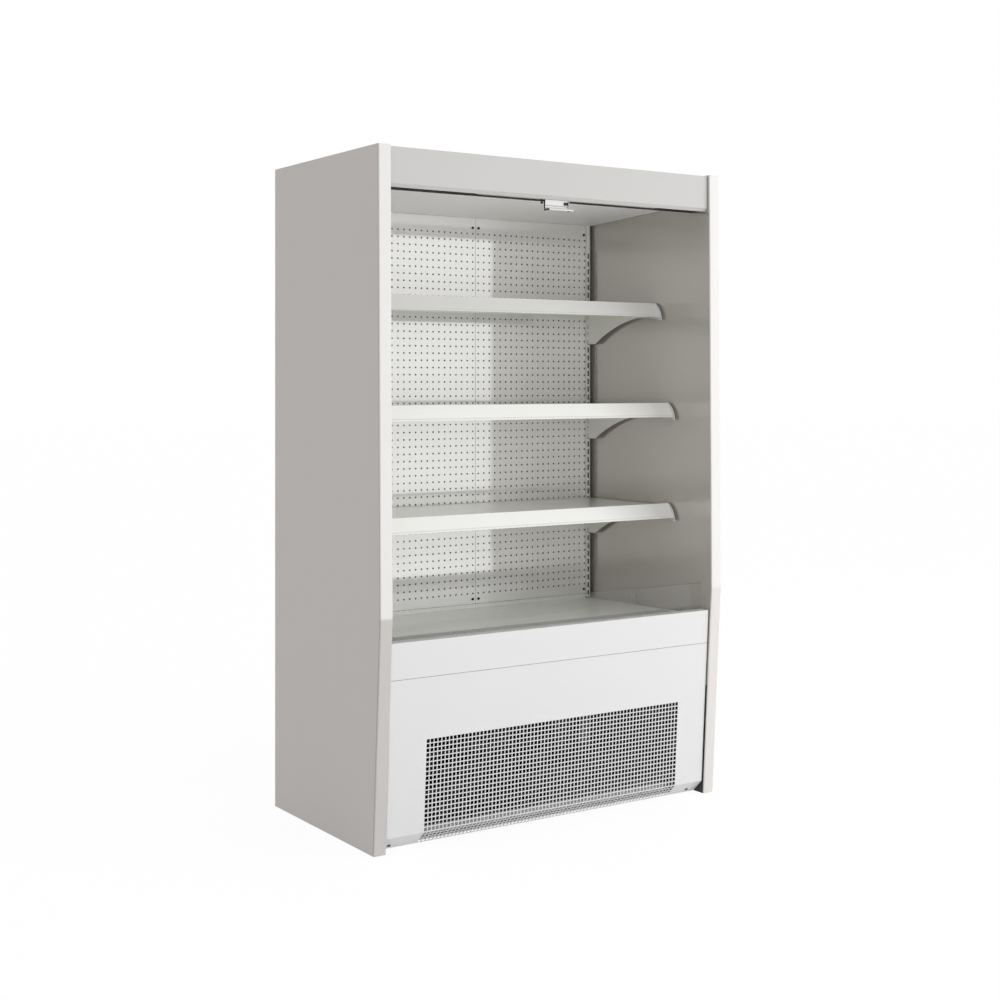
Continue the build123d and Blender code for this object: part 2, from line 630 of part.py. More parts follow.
def shelf_end_caps(front_y, top):
    """Two flat caps on the ends of the strip: bowed front edge, upright at the tip, and a tail behind."""
    radius = (CAP_REACH ** 2 + CAP_HEIGHT ** 2) / (2 * CAP_REACH)
    turn = degrees(atan2(CAP_HEIGHT, radius - CAP_REACH))
    tip = (front_y - CAP_REACH, top - CAP_HEIGHT)
    tail = (front_y + CAP_TAIL, top - CAP_TAIL_DROP)
    arch = ((tip[0] + tail[0]) / 2, (tip[1] + tail[1]) / 2 + CAP_ARCH)
    cap_rear_y = front_y + STRIP_SEAT
    with BuildPart() as caps:
        for side_name, side in SIDES:
            with BuildSketch(Plane.YZ.offset(side * SHELF_HALF_WIDTH)):
                with BuildLine():
                    face = CenterArc((tip[0] + radius, tip[1]), radius, 180, -turn)
                    Polyline(
                        face @ 1,
                        (cap_rear_y, top),
                        (cap_rear_y, top - DECK_DROP),
                        (tail[0], top - DECK_DROP),
                        tail,
                    )
                    ThreePointArc(tail, arch, face @ 0)
                make_face()
            extrude(amount=side * CAP_THICKNESS)
    return caps.part


def shelf_brackets(front_y, top):
    """Two cantilever plates with a hollow-curved lower edge and two hooks each."""
    rear_y = UPRIGHT_FRONT_Y - SEAT_GAP
    under = top - DECK_DROP - SHELF_SHEET
    low = top - BRACKET_HEIGHT
    tip_y = front_y + BRACKET_TIP_SETBACK
    arc_start = (rear_y - BRACKET_FOOT, low)
    arc_end = (rear_y - BRACKET_FOOT - BRACKET_ARC_RUN, low + BRACKET_ARC_RISE)
    arc_middle = ((arc_start[0] + arc_end[0]) / 2, (arc_start[1] + arc_end[1]) / 2 + BRACKET_ARC_SAG)
    hook_y = UPRIGHT_FRONT_Y + UPRIGHT_SHEET + SEAT_GAP
    with BuildPart() as brackets:
        for side_name, side in SIDES:
            with BuildSketch(Plane.YZ.offset(side * UPRIGHT_X - BRACKET_THICKNESS / 2)):
                with BuildLine():
                    Polyline((tip_y, under), (rear_y, under), (rear_y, low), arc_start)
                    ThreePointArc(arc_start, arc_middle, arc_end)
                    Polyline(arc_end, (tip_y, arc_end[1]), (tip_y, under))
                make_face()
                for step in range(2):
                    edge = top - HOOK_DROP + step * HOOK_STEP * SLOT_PITCH + SEAT_GAP
                    add(outline([
                        (rear_y, edge),
                        (hook_y, edge),
                        (hook_y, edge - HOOK_TIP),
                        (hook_y + BRACKET_THICKNESS, edge - HOOK_TIP),
                        (hook_y + BRACKET_THICKNESS, edge + HOOK_NECK),
                        (rear_y, edge + HOOK_NECK),
                    ]))
            extrude(amount=BRACKET_THICKNESS)
    return brackets.part


for number in range(1, SHELF_COUNT + 1):
    shelf_top = slot_edge(SHELF_FIRST_SLOT + (number - 1) * SHELF_STEP) + HOOK_DROP
    depth = TOP_SHELF_DEPTH if number == SHELF_COUNT else SHELF_DEPTH
    shelf_front_y = UPRIGHT_FRONT_Y - SHELF_BACK_GAP - depth

    deck = shelf_deck(shelf_front_y, shelf_top)
    deck.label = f"shelf_{number}_deck"
    export_step(deck, f"parts/shelf_{number}_deck.step")

    strip = ticket_strip(shelf_front_y, shelf_top)
    strip.label = f"shelf_{number}_ticket_strip"
    export_step(strip, f"parts/shelf_{number}_ticket_strip.step")

    caps = shelf_end_caps(shelf_front_y, shelf_top)
    caps.label = f"shelf_{number}_end_caps"
    export_step(caps, f"parts/shelf_{number}_end_caps.step")

    brackets = shelf_brackets(shelf_front_y, shelf_top)
    brackets.label = f"shelf_{number}_brackets"
    export_step(brackets, f"parts/shelf_{number}_brackets.step")


# ================================================================ insulated well
with BuildPart() as tank_insulation:
    with BuildSketch(Plane.YZ.offset(-LINED_X)):
        add(outline([
            (BACK_FOAM_FRONT_Y, TANK_BOTTOM),
            (BACK_FOAM_FRONT_Y, TANK_BOTTOM + TANK_FLOOR),
            (WELL_FRONT_Y, TANK_BOTTOM + TANK_FLOOR),
            (WELL_FRONT_Y, CHANNEL_BASE),
            (CHANNEL_FRONT_Y, CHANNEL_BASE),
            (CHANNEL_FRONT_Y, RISER_TOP - PANEL_SHEET),
            (panel_face(RISER_TOP) + PANEL_SHEET + SEAT_GAP, RISER_TOP - PANEL_SHEET),
            (panel_face(TANK_BOTTOM) + PANEL_SHEET + SEAT_GAP, TANK_BOTTOM),
        ]))
    extrude(amount=2 * LINED_X)
    with BuildSketch(Plane.XY.offset(TANK_BOTTOM)):
        with Locations((PIPE_X, SUCTION_PIPE_Y), (PIPE_X, LIQUID_PIPE_Y)):
            Circle(PIPE_RADIUS + PIPE_HOLE_GAP)
        with Locations((DRAIN_X, DRAIN_Y)):
            Circle(DRAIN_RADIUS)
    extrude(amount=TANK_FLOOR, mode=Mode.SUBTRACT)
tank_insulation.part.label = "tank_insulation"
export_step(tank_insulation.part, "parts/tank_insulation.step")

# Well liner: floor and front wall in one sheet, with the drain spout pressed out of the floor
with BuildPart() as well_liner:
    with BuildSketch(Plane.YZ.offset(-LINED_X)):
        add(sheet_section([
            (BACK_FOAM_FRONT_Y, TANK_BOTTOM + TANK_FLOOR),
            (WELL_FRONT_Y, TANK_BOTTOM + TANK_FLOOR),
            (WELL_FRONT_Y, CHANNEL_BASE),
        ], SHEET, Side.RIGHT))
    extrude(amount=2 * LINED_X)
    drain_bottom = PAN_TOP + TRAY_HEIGHT / 2
    with BuildSketch(Plane.XY.offset(drain_bottom)):
        with Locations((DRAIN_X, DRAIN_Y)):
            Circle(DRAIN_RADIUS)
    extrude(amount=WELL_FLOOR - drain_bottom)
    with BuildSketch(Plane.XY.offset(drain_bottom)):
        with Locations((DRAIN_X, DRAIN_Y)):
            Circle(DRAIN_RADIUS - DRAIN_WALL)
        with Locations((PIPE_X, SUCTION_PIPE_Y), (PIPE_X, LIQUID_PIPE_Y)):
            Circle(PIPE_RADIUS + PIPE_HOLE_GAP)
    extrude(amount=WELL_FLOOR - drain_bottom, mode=Mode.SUBTRACT)
well_liner.part.label = "well_liner"
export_step(well_liner.part, "parts/well_liner.step")

with BuildPart() as deck_ledges:
    ledge_rear_y = UPRIGHT_FRONT_Y - LOOSE_GAP
    ledge_drop = BASE_DECK_FOLD + SEAT_GAP
    for side_name, side in SIDES:
        with BuildSketch(Plane.YZ.offset(side * INNER_X)):
            add(outline([
                (ledge_rear_y, deck_height(ledge_rear_y) - ledge_drop),
                (ledge_rear_y, deck_height(ledge_rear_y) - ledge_drop - LEDGE_HEIGHT),
                (CHANNEL_REAR_Y, deck_height(CHANNEL_REAR_Y) - ledge_drop - LEDGE_HEIGHT),
                (CHANNEL_REAR_Y, deck_height(CHANNEL_REAR_Y) - ledge_drop),
            ]))
        extrude(amount=-side * LEDGE_WIDTH)
deck_ledges.part.label = "deck_ledges"
export_step(deck_ledges.part, "parts/deck_ledges.step")


# ================================================================ base deck and return air grille
def folded_tray(rear_y, front_y, sheet):
    """Sloping lift-out tray with its edges folded down, under the base deck's top line."""
    top = [(y, deck_height(y)) for y in (rear_y, front_y)]
    inner = [(y, deck_height(y)) for y in (rear_y - sheet, front_y + sheet)]
    with BuildPart() as tray:
        with BuildSketch(Plane.YZ.offset(-LOOSE_HALF_WIDTH)):
            add(outline([
                top[0],
                top[1],
                (front_y, top[1][1] - BASE_DECK_FOLD),
                (rear_y, top[0][1] - BASE_DECK_FOLD),
            ]))
        extrude(amount=2 * LOOSE_HALF_WIDTH)
        with BuildSketch(Plane.YZ.offset(-LOOSE_HALF_WIDTH + sheet)):
            add(outline([
                (rear_y - sheet, inner[0][1] - sheet),
                (front_y + sheet, inner[1][1] - sheet),
                (front_y + sheet, inner[1][1] - 2 * BASE_DECK_FOLD),
                (rear_y - sheet, inner[0][1] - 2 * BASE_DECK_FOLD),
            ]))
        extrude(amount=2 * (LOOSE_HALF_WIDTH - sheet), mode=Mode.SUBTRACT)
    return tray.part


base_deck = folded_tray(BASE_DECK_REAR_Y, BASE_DECK_FRONT_Y, BASE_DECK_SHEET)
with BuildPart() as notched_deck:
    add(base_deck)
    # corners cut out around the uprights
    with BuildSketch(Plane.XY.offset(deck_height(BASE_DECK_FRONT_Y))):
        with GridLocations(2 * INNER_X, 1, 2, 1):
            with Locations((0, DUCT_FRONT_Y)):
                Rectangle(
                    2 * (INNER_X - UPRIGHT_X + UPRIGHT_WIDTH / 2 + LOOSE_GAP),
                    2 * (UPRIGHT_DEPTH + LOOSE_GAP),
                )
    extrude(amount=-3 * BASE_DECK_FOLD, mode=Mode.SUBTRACT)
notched_deck.part.label = "base_deck"
export_step(notched_deck.part, "parts/base_deck.step")

plain_grille = folded_tray(GRILLE_REAR_Y, GRILLE_FRONT_Y, BASE_DECK_SHEET)
with BuildPart() as return_air_grille:
    add(plain_grille)
    grille_depth = GRILLE_REAR_Y - GRILLE_FRONT_Y
    rib_pitch = 2 * (LOOSE_HALF_WIDTH - GRILLE_BORDER) / GRILLE_RIBS
    with BuildSketch(Plane.XY.offset(deck_height(GRILLE_FRONT_Y))):
        with Locations((0, (GRILLE_REAR_Y + GRILLE_FRONT_Y) / 2)):
            with GridLocations(rib_pitch, grille_depth / 2, GRILLE_RIBS, 2):
                Rectangle(rib_pitch - GRILLE_RIB, grille_depth / 2 - GRILLE_BORDER)
    extrude(amount=-BASE_DECK_FOLD / 2, mode=Mode.SUBTRACT)
return_air_grille.part.label = "return_air_grille"
export_step(return_air_grille.part, "parts/return_air_grille.step")


# ================================================================ front riser and glass
PANEL_HALF = INNER_X - PANEL_END_GAP
with BuildPart() as riser_panel:
    with BuildSketch(Plane.YZ.offset(-PANEL_HALF)):
        add(sheet_section([
            (panel_face(RISER_SEAM), RISER_SEAM),
            (panel_face(RISER_TOP), RISER_TOP),
            (CHANNEL_FRONT_Y, RISER_TOP),
        ], PANEL_SHEET, Side.RIGHT))
    extrude(amount=2 * PANEL_HALF)
riser_panel.part.label = "riser_panel"
export_step(riser_panel.part, "parts/riser_panel.step")

with BuildPart() as glass_channel:
    slot_half = GLASS_THICKNESS / 2 + GLASS_FIT
    with BuildSketch(Plane.YZ.offset(-INNER_X)):
        add(outline([
            (CHANNEL_FRONT_Y, CHANNEL_BASE),
            (CHANNEL_FRONT_Y, RISER_TOP),
            (GLASS_Y - slot_half, RISER_TOP),
            (GLASS_Y - slot_half, CHANNEL_BASE + CHANNEL_FLOOR),
            (GLASS_Y + slot_half, CHANNEL_BASE + CHANNEL_FLOOR),
            (GLASS_Y + slot_half, RISER_TOP - CHANNEL_FLOOR),
            (GLASS_Y + slot_half + CHANNEL_FLOOR, RISER_TOP - CHANNEL_FLOOR),
            (CHANNEL_REAR_Y, CHANNEL_BASE + CHANNEL_FLOOR),
            (CHANNEL_REAR_Y, CHANNEL_BASE),
        ]))
    extrude(amount=2 * INNER_X)
glass_channel.part.label = "glass_channel"
export_step(glass_channel.part, "parts/glass_channel.step")

with BuildPart() as front_glass:
    with BuildSketch(Plane.YZ.offset(-(INNER_X - GLASS_END_GAP))):
        add(outline([
            (GLASS_Y - GLASS_THICKNESS / 2, CHANNEL_BASE + CHANNEL_FLOOR),
            (GLASS_Y - GLASS_THICKNESS / 2, GLASS_TOP),
            (GLASS_Y + GLASS_THICKNESS / 2, GLASS_TOP),
            (GLASS_Y + GLASS_THICKNESS / 2, CHANNEL_BASE + CHANNEL_FLOOR),
        ]))
    extrude(amount=2 * (INNER_X - GLASS_END_GAP))
    chamfer(front_glass.edges().filter_by(Axis.X), GLASS_THICKNESS / 12)
front_glass.part.label = "front_glass"
export_step(front_glass.part, "parts/front_glass.step")


# ================================================================ lower front panel
PANEL_TILT = atan2(FOOT_SETBACK, KNEE_HEIGHT)
FLANGE_REAR_Y = panel_face(PANEL_FOLD) + FLANGE_RUN
VENT_PITCH_X = 2 * VENT_HALF_WIDTH / VENT_COLUMNS
VENT_PITCH_Z = (VENT_TOP - PANEL_FOLD - VENT_BAR) / VENT_ROWS
FLANGE_SCREWS = [(x, -FLANGE_SCREW_DROP) for x in FLANGE_SCREW_X]

FACE_LENGTH = (RISER_SEAM - LOOSE_GAP - PANEL_FOLD) / cos(PANEL_TILT)
FLANGE_LENGTH = FLANGE_RUN * sqrt(2)
face_plane = Plane(
    origin=(0, panel_face(PANEL_FOLD), PANEL_FOLD),
    x_dir=(1, 0, 0),
    z_dir=(0, -cos(PANEL_TILT), -sin(PANEL_TILT)),
)
flange_plane = Plane(
    origin=(0, panel_face(PANEL_FOLD) + FLANGE_RUN / 2, PANEL_FOLD - FLANGE_RUN / 2),
    x_dir=(1, 0, 0),
    z_dir=(0, -1, -1),
)
# The sloping face and the flange below its fold, both pierced by the vent
with BuildPart() as lower_front_panel:
    with BuildSketch(face_plane):
        with Locations((0, FACE_LENGTH / 2)):
            Rectangle(2 * PANEL_HALF, FACE_LENGTH)
        with Locations((VENT_X, VENT_BAR + VENT_ROWS * VENT_PITCH_Z / 2)):
            with GridLocations(VENT_PITCH_X, VENT_PITCH_Z, VENT_COLUMNS, VENT_ROWS):
                Rectangle(VENT_PITCH_X - VENT_BAR, VENT_PITCH_Z - VENT_BAR, mode=Mode.SUBTRACT)
    extrude(amount=-PANEL_SHEET)
    with BuildSketch(flange_plane):
        Rectangle(2 * PANEL_HALF, FLANGE_LENGTH)
        with Locations((VENT_X, 0)):
            with GridLocations(VENT_PITCH_X, 1, VENT_COLUMNS, 1):
                Rectangle(VENT_PITCH_X - VENT_BAR, FLANGE_LENGTH - 2 * VENT_BAR, mode=Mode.SUBTRACT)
        with Locations(*FLANGE_SCREWS):
            Circle(SCREW_SHANK + SCREW_FIT, mode=Mode.SUBTRACT)
    extrude(amount=-PANEL_SHEET)
    return_top = TANK_BOTTOM - LOOSE_GAP
    for side_name, side in SIDES:
        with BuildSketch(Plane.YZ.offset(side * PANEL_HALF)):
            add(outline([
                (panel_face(return_top), return_top),
                (panel_face(PANEL_FOLD), PANEL_FOLD),
                (panel_face(PANEL_FOLD) + PANEL_RETURN, PANEL_FOLD),
                (panel_face(return_top) + PANEL_RETURN, return_top),
            ]))
        extrude(amount=-side * PANEL_SHEET)
lower_front_panel.part.label = "lower_front_panel"
export_step(lower_front_panel.part, "parts/lower_front_panel.step")


# ================================================================ panel screws
def screws(face, places):
    """Pan-head screws on a face plane: heads in front of it, shanks behind it."""
    with BuildPart() as group:
        with BuildSketch(face):
            with Locations(*places):
                Circle(SCREW_RADIUS)
        extrude(amount=SCREW_HEAD)
        with BuildSketch(face):
            with Locations(*places):
                Circle(SCREW_SHANK)
        extrude(amount=-SCREW_LENGTH)
    return group.part


with BuildPart() as panel_screws:
    duct_places = [(x, height) for x in LEFT_SCREW_X + RIGHT_SCREW_X for height in DUCT_SCREW_HEIGHTS]
    add(screws(Plane.XZ.offset(-DUCT_FRONT_Y), duct_places))
    add(screws(flange_plane, FLANGE_SCREWS))
panel_screws.part.label = "panel_screws"
export_step(panel_screws.part, "parts/panel_screws.step")


# ================================================================ base pan and feet
with BuildPart() as base_pan:
    pan_depth = END_REAR_Y - PAN_FRONT_Y
    pan_y = (END_REAR_Y + PAN_FRONT_Y) / 2
    with BuildSketch(Plane.XY.offset(PAN_TOP - PAN_HEIGHT)):
        with Locations((0, pan_y)):
            Rectangle(2 * LINED_X, pan_depth)
    extrude(amount=PAN_HEIGHT)
    with BuildSketch(Plane.XY.offset(PAN_TOP - PAN_HEIGHT)):
        with Locations((0, pan_y)):
            Rectangle(2 * (LINED_X - PAN_SHEET), pan_depth - 2 * PAN_SHEET)
    extrude(amount=PAN_HEIGHT - PAN_SHEET, mode=Mode.SUBTRACT)
base_pan.part.label = "base_pan"
export_step(base_pan.part, "parts/base_pan.step")

with BuildPart() as levelling_feet:
    feet_x = 2 * (INNER_X - FOOT_INSET_X)
    feet_y = pan_depth - 2 * FOOT_INSET_Y
    with BuildSketch(Plane.XY):
        with Locations((0, pan_y)):
            with GridLocations(feet_x, feet_y, 2, 2):
                Circle(FOOT_RADIUS)
    extrude(amount=FOOT_HEIGHT)
    with BuildSketch(Plane.XY.offset(FOOT_HEIGHT)):
        with Locations((0, pan_y)):
            with GridLocations(feet_x, feet_y, 2, 2):
                Circle(STUD_RADIUS)
    extrude(amount=PAN_TOP - PAN_SHEET - FOOT_HEIGHT)
levelling_feet.part.label = "levelling_feet"
export_step(levelling_feet.part, "parts/levelling_feet.step")


# ================================================================ compressor
FOOT_PLATE_BOTTOM = PAN_TOP + GROMMET_HEIGHT
with BuildPart() as compressor:
    with BuildSketch(Plane.XY.offset(FOOT_PLATE_BOTTOM + COMPRESSOR_FOOT)):
        with Locations((COMPRESSOR_X, COMPRESSOR_Y)):
            Circle(COMPRESSOR_RADIUS)
    extrude(amount=COMPRESSOR_HEIGHT)
    fillet(compressor.edges().filter_by(GeomType.CIRCLE), COMPRESSOR_CROWN)
    with BuildSketch(Plane.XY.offset(FOOT_PLATE_BOTTOM)):
        with Locations((COMPRESSOR_X, COMPRESSOR_Y)):
            RectangleRounded(COMPRESSOR_FOOT_SIZE, COMPRESSOR_FOOT_SIZE, GROMMET_INSET)
    extrude(amount=COMPRESSOR_FOOT)
    # suction stub to the right, discharge stub to the front
    with BuildSketch(Plane.YZ.offset(COMPRESSOR_X)):
        with Locations((COMPRESSOR_Y, SUCTION_HEIGHT)):
            Circle(STUB_RADIUS)
    extrude(amount=COMPRESSOR_RADIUS + STUB_LENGTH)
    with BuildSketch(Plane.XZ.offset(-COMPRESSOR_Y)):
        with Locations((COMPRESSOR_X, DISCHARGE_HEIGHT)):
            Circle(STUB_RADIUS)
    extrude(amount=COMPRESSOR_RADIUS + STUB_LENGTH)
compressor.part.label = "compressor"
export_step(compressor.part, "parts/compressor.step")

with BuildPart() as compressor_grommets:
    spread = COMPRESSOR_FOOT_SIZE - 2 * GROMMET_INSET
    with BuildSketch(Plane.XY.offset(PAN_TOP)):
        with Locations((COMPRESSOR_X, COMPRESSOR_Y)):
            with GridLocations(spread, spread, 2, 2):
                Circle(GROMMET_RADIUS)
    extrude(amount=GROMMET_HEIGHT)
compressor_grommets.part.label = "compressor_grommets"
export_step(compressor_grommets.part, "parts/compressor_grommets.step")


# ================================================================ fans
def fan_rotor(centre, tip_radius, hub_radius, hub_length):
    """Fan with pitched blades round a hub, its axis along Y and bored for the motor shaft."""
    with BuildPart(Plane(origin=centre, x_dir=(1, 0, 0), z_dir=(0, -1, 0))) as rotor:
        reach = tip_radius - hub_radius
        with PolarLocations(hub_radius + reach / 2, BLADE_COUNT):
            Box(reach * BLADE_ROOT, hub_radius * BLADE_CHORD, BLADE, rotation=(BLADE_PITCH, 0, 0))
        Cylinder(tip_radius, 2 * hub_length, mode=Mode.INTERSECT)
        Cylinder(hub_radius, hub_length)
        Cylinder(SHAFT_RADIUS + SHAFT_FIT, hub_length, mode=Mode.SUBTRACT)
    return rotor.part


def fan_spider(centre_x, centre_z, ring_radius, wall_y, hub_length):
    """Ring, three spokes and shaft that hold one fan motor behind a plate at wall_y."""
    with BuildPart() as spider:
        behind = Plane.XZ.offset(-wall_y)
        with BuildSketch(behind):
            with Locations((centre_x, centre_z)):
                Circle(ring_radius + SPOKE)
                Circle(ring_radius - SPOKE, mode=Mode.SUBTRACT)
                with PolarLocations(ring_radius / 2, 3):
                    Rectangle(ring_radius, SPOKE)
                Circle(3 * SPOKE)
        extrude(amount=-SPOKE)
        with BuildSketch(behind):
            with Locations((centre_x, centre_z)):
                Circle(SHAFT_RADIUS)
        extrude(amount=hub_length)
    return spider.part


# ================================================================ condenser
with BuildPart() as condenser_coil:
    fin_pitch = (CONDENSER_WIDTH - FIN) / (CONDENSER_FINS - 1)
    with BuildSketch(Plane.XY.offset(PAN_TOP)):
        with Locations((CONDENSER_X, CONDENSER_Y)):
            with GridLocations(fin_pitch, 1, CONDENSER_FINS, 1):
                Rectangle(FIN, CONDENSER_DEPTH)
    extrude(amount=CONDENSER_HEIGHT)
    with BuildSketch(Plane.YZ.offset(CONDENSER_X - CONDENSER_WIDTH / 2)):
        with Locations((CONDENSER_Y, CONDENSER_MIDDLE)):
            with GridLocations(
                CONDENSER_DEPTH / 2, CONDENSER_HEIGHT / CONDENSER_TUBES_UP,
                2, CONDENSER_TUBES_UP,
            ):
                Circle(TUBE_RADIUS)
    extrude(amount=CONDENSER_WIDTH)
condenser_coil.part.label = "condenser_coil"
export_step(condenser_coil.part, "parts/condenser_coil.step")

SHROUD_FRONT_Y = CONDENSER_Y + CONDENSER_DEPTH / 2
SHROUD_REAR_Y = SHROUD_FRONT_Y + SHROUD_DEPTH
with BuildPart() as condenser_shroud:
    with BuildSketch(Plane.XZ.offset(-SHROUD_FRONT_Y)):
        with Locations((CONDENSER_X, CONDENSER_MIDDLE)):
            Rectangle(CONDENSER_WIDTH, CONDENSER_HEIGHT)
    extrude(amount=-SHROUD_DEPTH)
    with BuildSketch(Plane.XZ.offset(-SHROUD_FRONT_Y)):
        with Locations((CONDENSER_X, CONDENSER_MIDDLE)):
            Rectangle(CONDENSER_WIDTH - 2 * SHROUD_SHEET, CONDENSER_HEIGHT - 2 * SHROUD_SHEET)
    extrude(amount=-(SHROUD_DEPTH - SHROUD_SHEET), mode=Mode.SUBTRACT)
    with BuildSketch(Plane.XZ.offset(-SHROUD_FRONT_Y)):
        with Locations((CONDENSER_X, CONDENSER_MIDDLE)):
            Circle(CONDENSER_FAN_RADIUS + FAN_TIP_GAP)
    extrude(amount=-SHROUD_DEPTH, mode=Mode.SUBTRACT)
    add(fan_spider(CONDENSER_X, CONDENSER_MIDDLE, CONDENSER_FAN_RADIUS + FAN_TIP_GAP,
                   SHROUD_REAR_Y, SHROUD_DEPTH))
condenser_shroud.part.label = "condenser_shroud"
export_step(condenser_shroud.part, "parts/condenser_shroud.step")

condenser_fan = fan_rotor(
    (CONDENSER_X, SHROUD_REAR_Y - SHROUD_DEPTH / 2, CONDENSER_MIDDLE),
    CONDENSER_FAN_RADIUS, CONDENSER_HUB_RADIUS, SHROUD_DEPTH - 2 * SHROUD_SHEET,
)
condenser_fan.label = "condenser_fan"
export_step(condenser_fan, "parts/condenser_fan.step")


# ================================================================ condensate tray, electrics, mains gland
with BuildPart() as condensate_tray:
    with BuildSketch(Plane.XY.offset(PAN_TOP)):
        with Locations((TRAY_X, TRAY_Y)):
            RectangleRounded(TRAY_WIDTH, TRAY_DEPTH, 4 * TRAY_WALL)
    extrude(amount=TRAY_HEIGHT)
    with BuildSketch(Plane.XY.offset(PAN_TOP + TRAY_WALL)):
        with Locations((TRAY_X, TRAY_Y)):
            RectangleRounded(TRAY_WIDTH - 2 * TRAY_WALL, TRAY_DEPTH - 2 * TRAY_WALL, 3 * TRAY_WALL)
    extrude(amount=TRAY_HEIGHT, mode=Mode.SUBTRACT)
condensate_tray.part.label = "condensate_tray"
export_step(condensate_tray.part, "parts/condensate_tray.step")

BOX_FRONT_Y = BOX_Y - BOX_DEPTH / 2
SWITCH_Z = PAN_TOP + SWITCH_RISE
with BuildPart() as electrics_box:
    with BuildSketch(Plane.XY.offset(PAN_TOP)):
        with Locations((BOX_X, BOX_Y)):
            Rectangle(BOX_WIDTH, BOX_DEPTH)
    extrude(amount=BOX_HEIGHT)
    with BuildSketch(Plane.XY.offset(PAN_TOP + BOX_WALL)):
        with Locations((BOX_X, BOX_Y)):
            Rectangle(BOX_WIDTH - 2 * BOX_WALL, BOX_DEPTH - 2 * BOX_WALL)
    extrude(amount=BOX_HEIGHT - 2 * BOX_WALL, mode=Mode.SUBTRACT)
    with BuildSketch(Plane.XZ.offset(-BOX_FRONT_Y)):
        with Locations((BOX_X, SWITCH_Z)):
            Rectangle(SWITCH_WIDTH + 2 * SWITCH_FIT, SWITCH_HEIGHT + 2 * SWITCH_FIT)
    extrude(amount=-BOX_WALL, mode=Mode.SUBTRACT)
    # lugs behind the front wall that hold the rocker's pins
    for side_name, side in SIDES:
        with BuildSketch(Plane.YZ.offset(BOX_X + side * (SWITCH_WIDTH / 2 + SWITCH_FIT))):
            with Locations((BOX_FRONT_Y + SWITCH_AXIS_DEPTH, SWITCH_Z)):
                Rectangle(2 * SWITCH_AXIS_DEPTH, 2 * SWITCH_AXIS_DEPTH)
                Circle(SWITCH_PIN_RADIUS + SHAFT_FIT, mode=Mode.SUBTRACT)
        extrude(amount=side * SWITCH_LUG)
electrics_box.part.label = "electrics_box"
export_step(electrics_box.part, "parts/electrics_box.step")

with BuildPart() as main_switch:
    with BuildSketch(Plane.YZ.offset(BOX_X - SWITCH_WIDTH / 2)):
        with BuildLine():
            Polyline(
                (BOX_FRONT_Y, SWITCH_Z - SWITCH_HEIGHT / 2),
                (BOX_FRONT_Y + SWITCH_DEPTH, SWITCH_Z - SWITCH_HEIGHT / 4),
                (BOX_FRONT_Y + SWITCH_DEPTH, SWITCH_Z + SWITCH_HEIGHT / 4),
                (BOX_FRONT_Y, SWITCH_Z + SWITCH_HEIGHT / 2),
            )
            ThreePointArc(
                (BOX_FRONT_Y, SWITCH_Z + SWITCH_HEIGHT / 2),
                (BOX_FRONT_Y + SWITCH_DEPTH / 6, SWITCH_Z),
                (BOX_FRONT_Y, SWITCH_Z - SWITCH_HEIGHT / 2),
            )
        make_face()
    extrude(amount=SWITCH_WIDTH)
    with BuildSketch(Plane.YZ.offset(BOX_X - SWITCH_WIDTH / 2 - SWITCH_PIN_LENGTH)):
        with Locations((BOX_FRONT_Y + SWITCH_AXIS_DEPTH, SWITCH_Z)):
            Circle(SWITCH_PIN_RADIUS)
    extrude(amount=SWITCH_WIDTH + 2 * SWITCH_PIN_LENGTH)
main_switch.part.label = "main_switch"
export_step(main_switch.part, "parts/main_switch.step")

with BuildPart() as mains_gland:
    with BuildSketch(Plane.XZ.offset(-REAR_SKIN_FRONT_Y)):
        with Locations((GLAND_X, GLAND_HEIGHT)):
            Circle(GLAND_FLANGE)
    extrude(amount=GLAND_FLANGE_THICKNESS)
    with BuildSketch(Plane.XZ.offset(-REAR_Y)):
        with Locations((GLAND_X, GLAND_HEIGHT)):
            Circle(GLAND_RADIUS)
    extrude(amount=GLAND_LENGTH)
    with BuildSketch(Plane.XZ.offset(-REAR_Y)):
        with Locations((GLAND_X, GLAND_HEIGHT)):
            Circle(GLAND_BORE)
    extrude(amount=GLAND_LENGTH, mode=Mode.SUBTRACT)
mains_gland.part.label = "mains_gland"
export_step(mains_gland.part, "parts/mains_gland.step")


# ================================================================ evaporator and its fans
with BuildPart() as evaporator_coil:
    fin_pitch = (EVAPORATOR_WIDTH - FIN) / (EVAPORATOR_FINS - 1)
    coil_bottom = WELL_FLOOR + EVAPORATOR_LIFT
    coil_middle = coil_bottom + EVAPORATOR_HEIGHT / 2
    with BuildSketch(Plane.XY.offset(coil_bottom)):
        with Locations((0, EVAPORATOR_Y)):
            with GridLocations(fin_pitch, 1, EVAPORATOR_FINS, 1):
                Rectangle(FIN, EVAPORATOR_DEPTH)
    extrude(amount=EVAPORATOR_HEIGHT)
    with BuildSketch(Plane.YZ.offset(-EVAPORATOR_WIDTH / 2)):
        with Locations((EVAPORATOR_Y, coil_middle)):
            with GridLocations(
                EVAPORATOR_DEPTH / EVAPORATOR_TUBES, EVAPORATOR_HEIGHT / EVAPORATOR_TUBES,
                EVAPORATOR_TUBES, EVAPORATOR_TUBES,
            ):
                Circle(TUBE_RADIUS)
    extrude(amount=EVAPORATOR_WIDTH)
    # the two end fins run down to the well floor as feet
    with BuildSketch(Plane.XY.offset(WELL_FLOOR)):
        with Locations((0, EVAPORATOR_Y)):
            with GridLocations(EVAPORATOR_WIDTH - FIN, 1, 2, 1):
                Rectangle(FIN, EVAPORATOR_DEPTH)
    extrude(amount=EVAPORATOR_LIFT)
evaporator_coil.part.label = "evaporator_coil"
export_step(evaporator_coil.part, "parts/evaporator_coil.step")

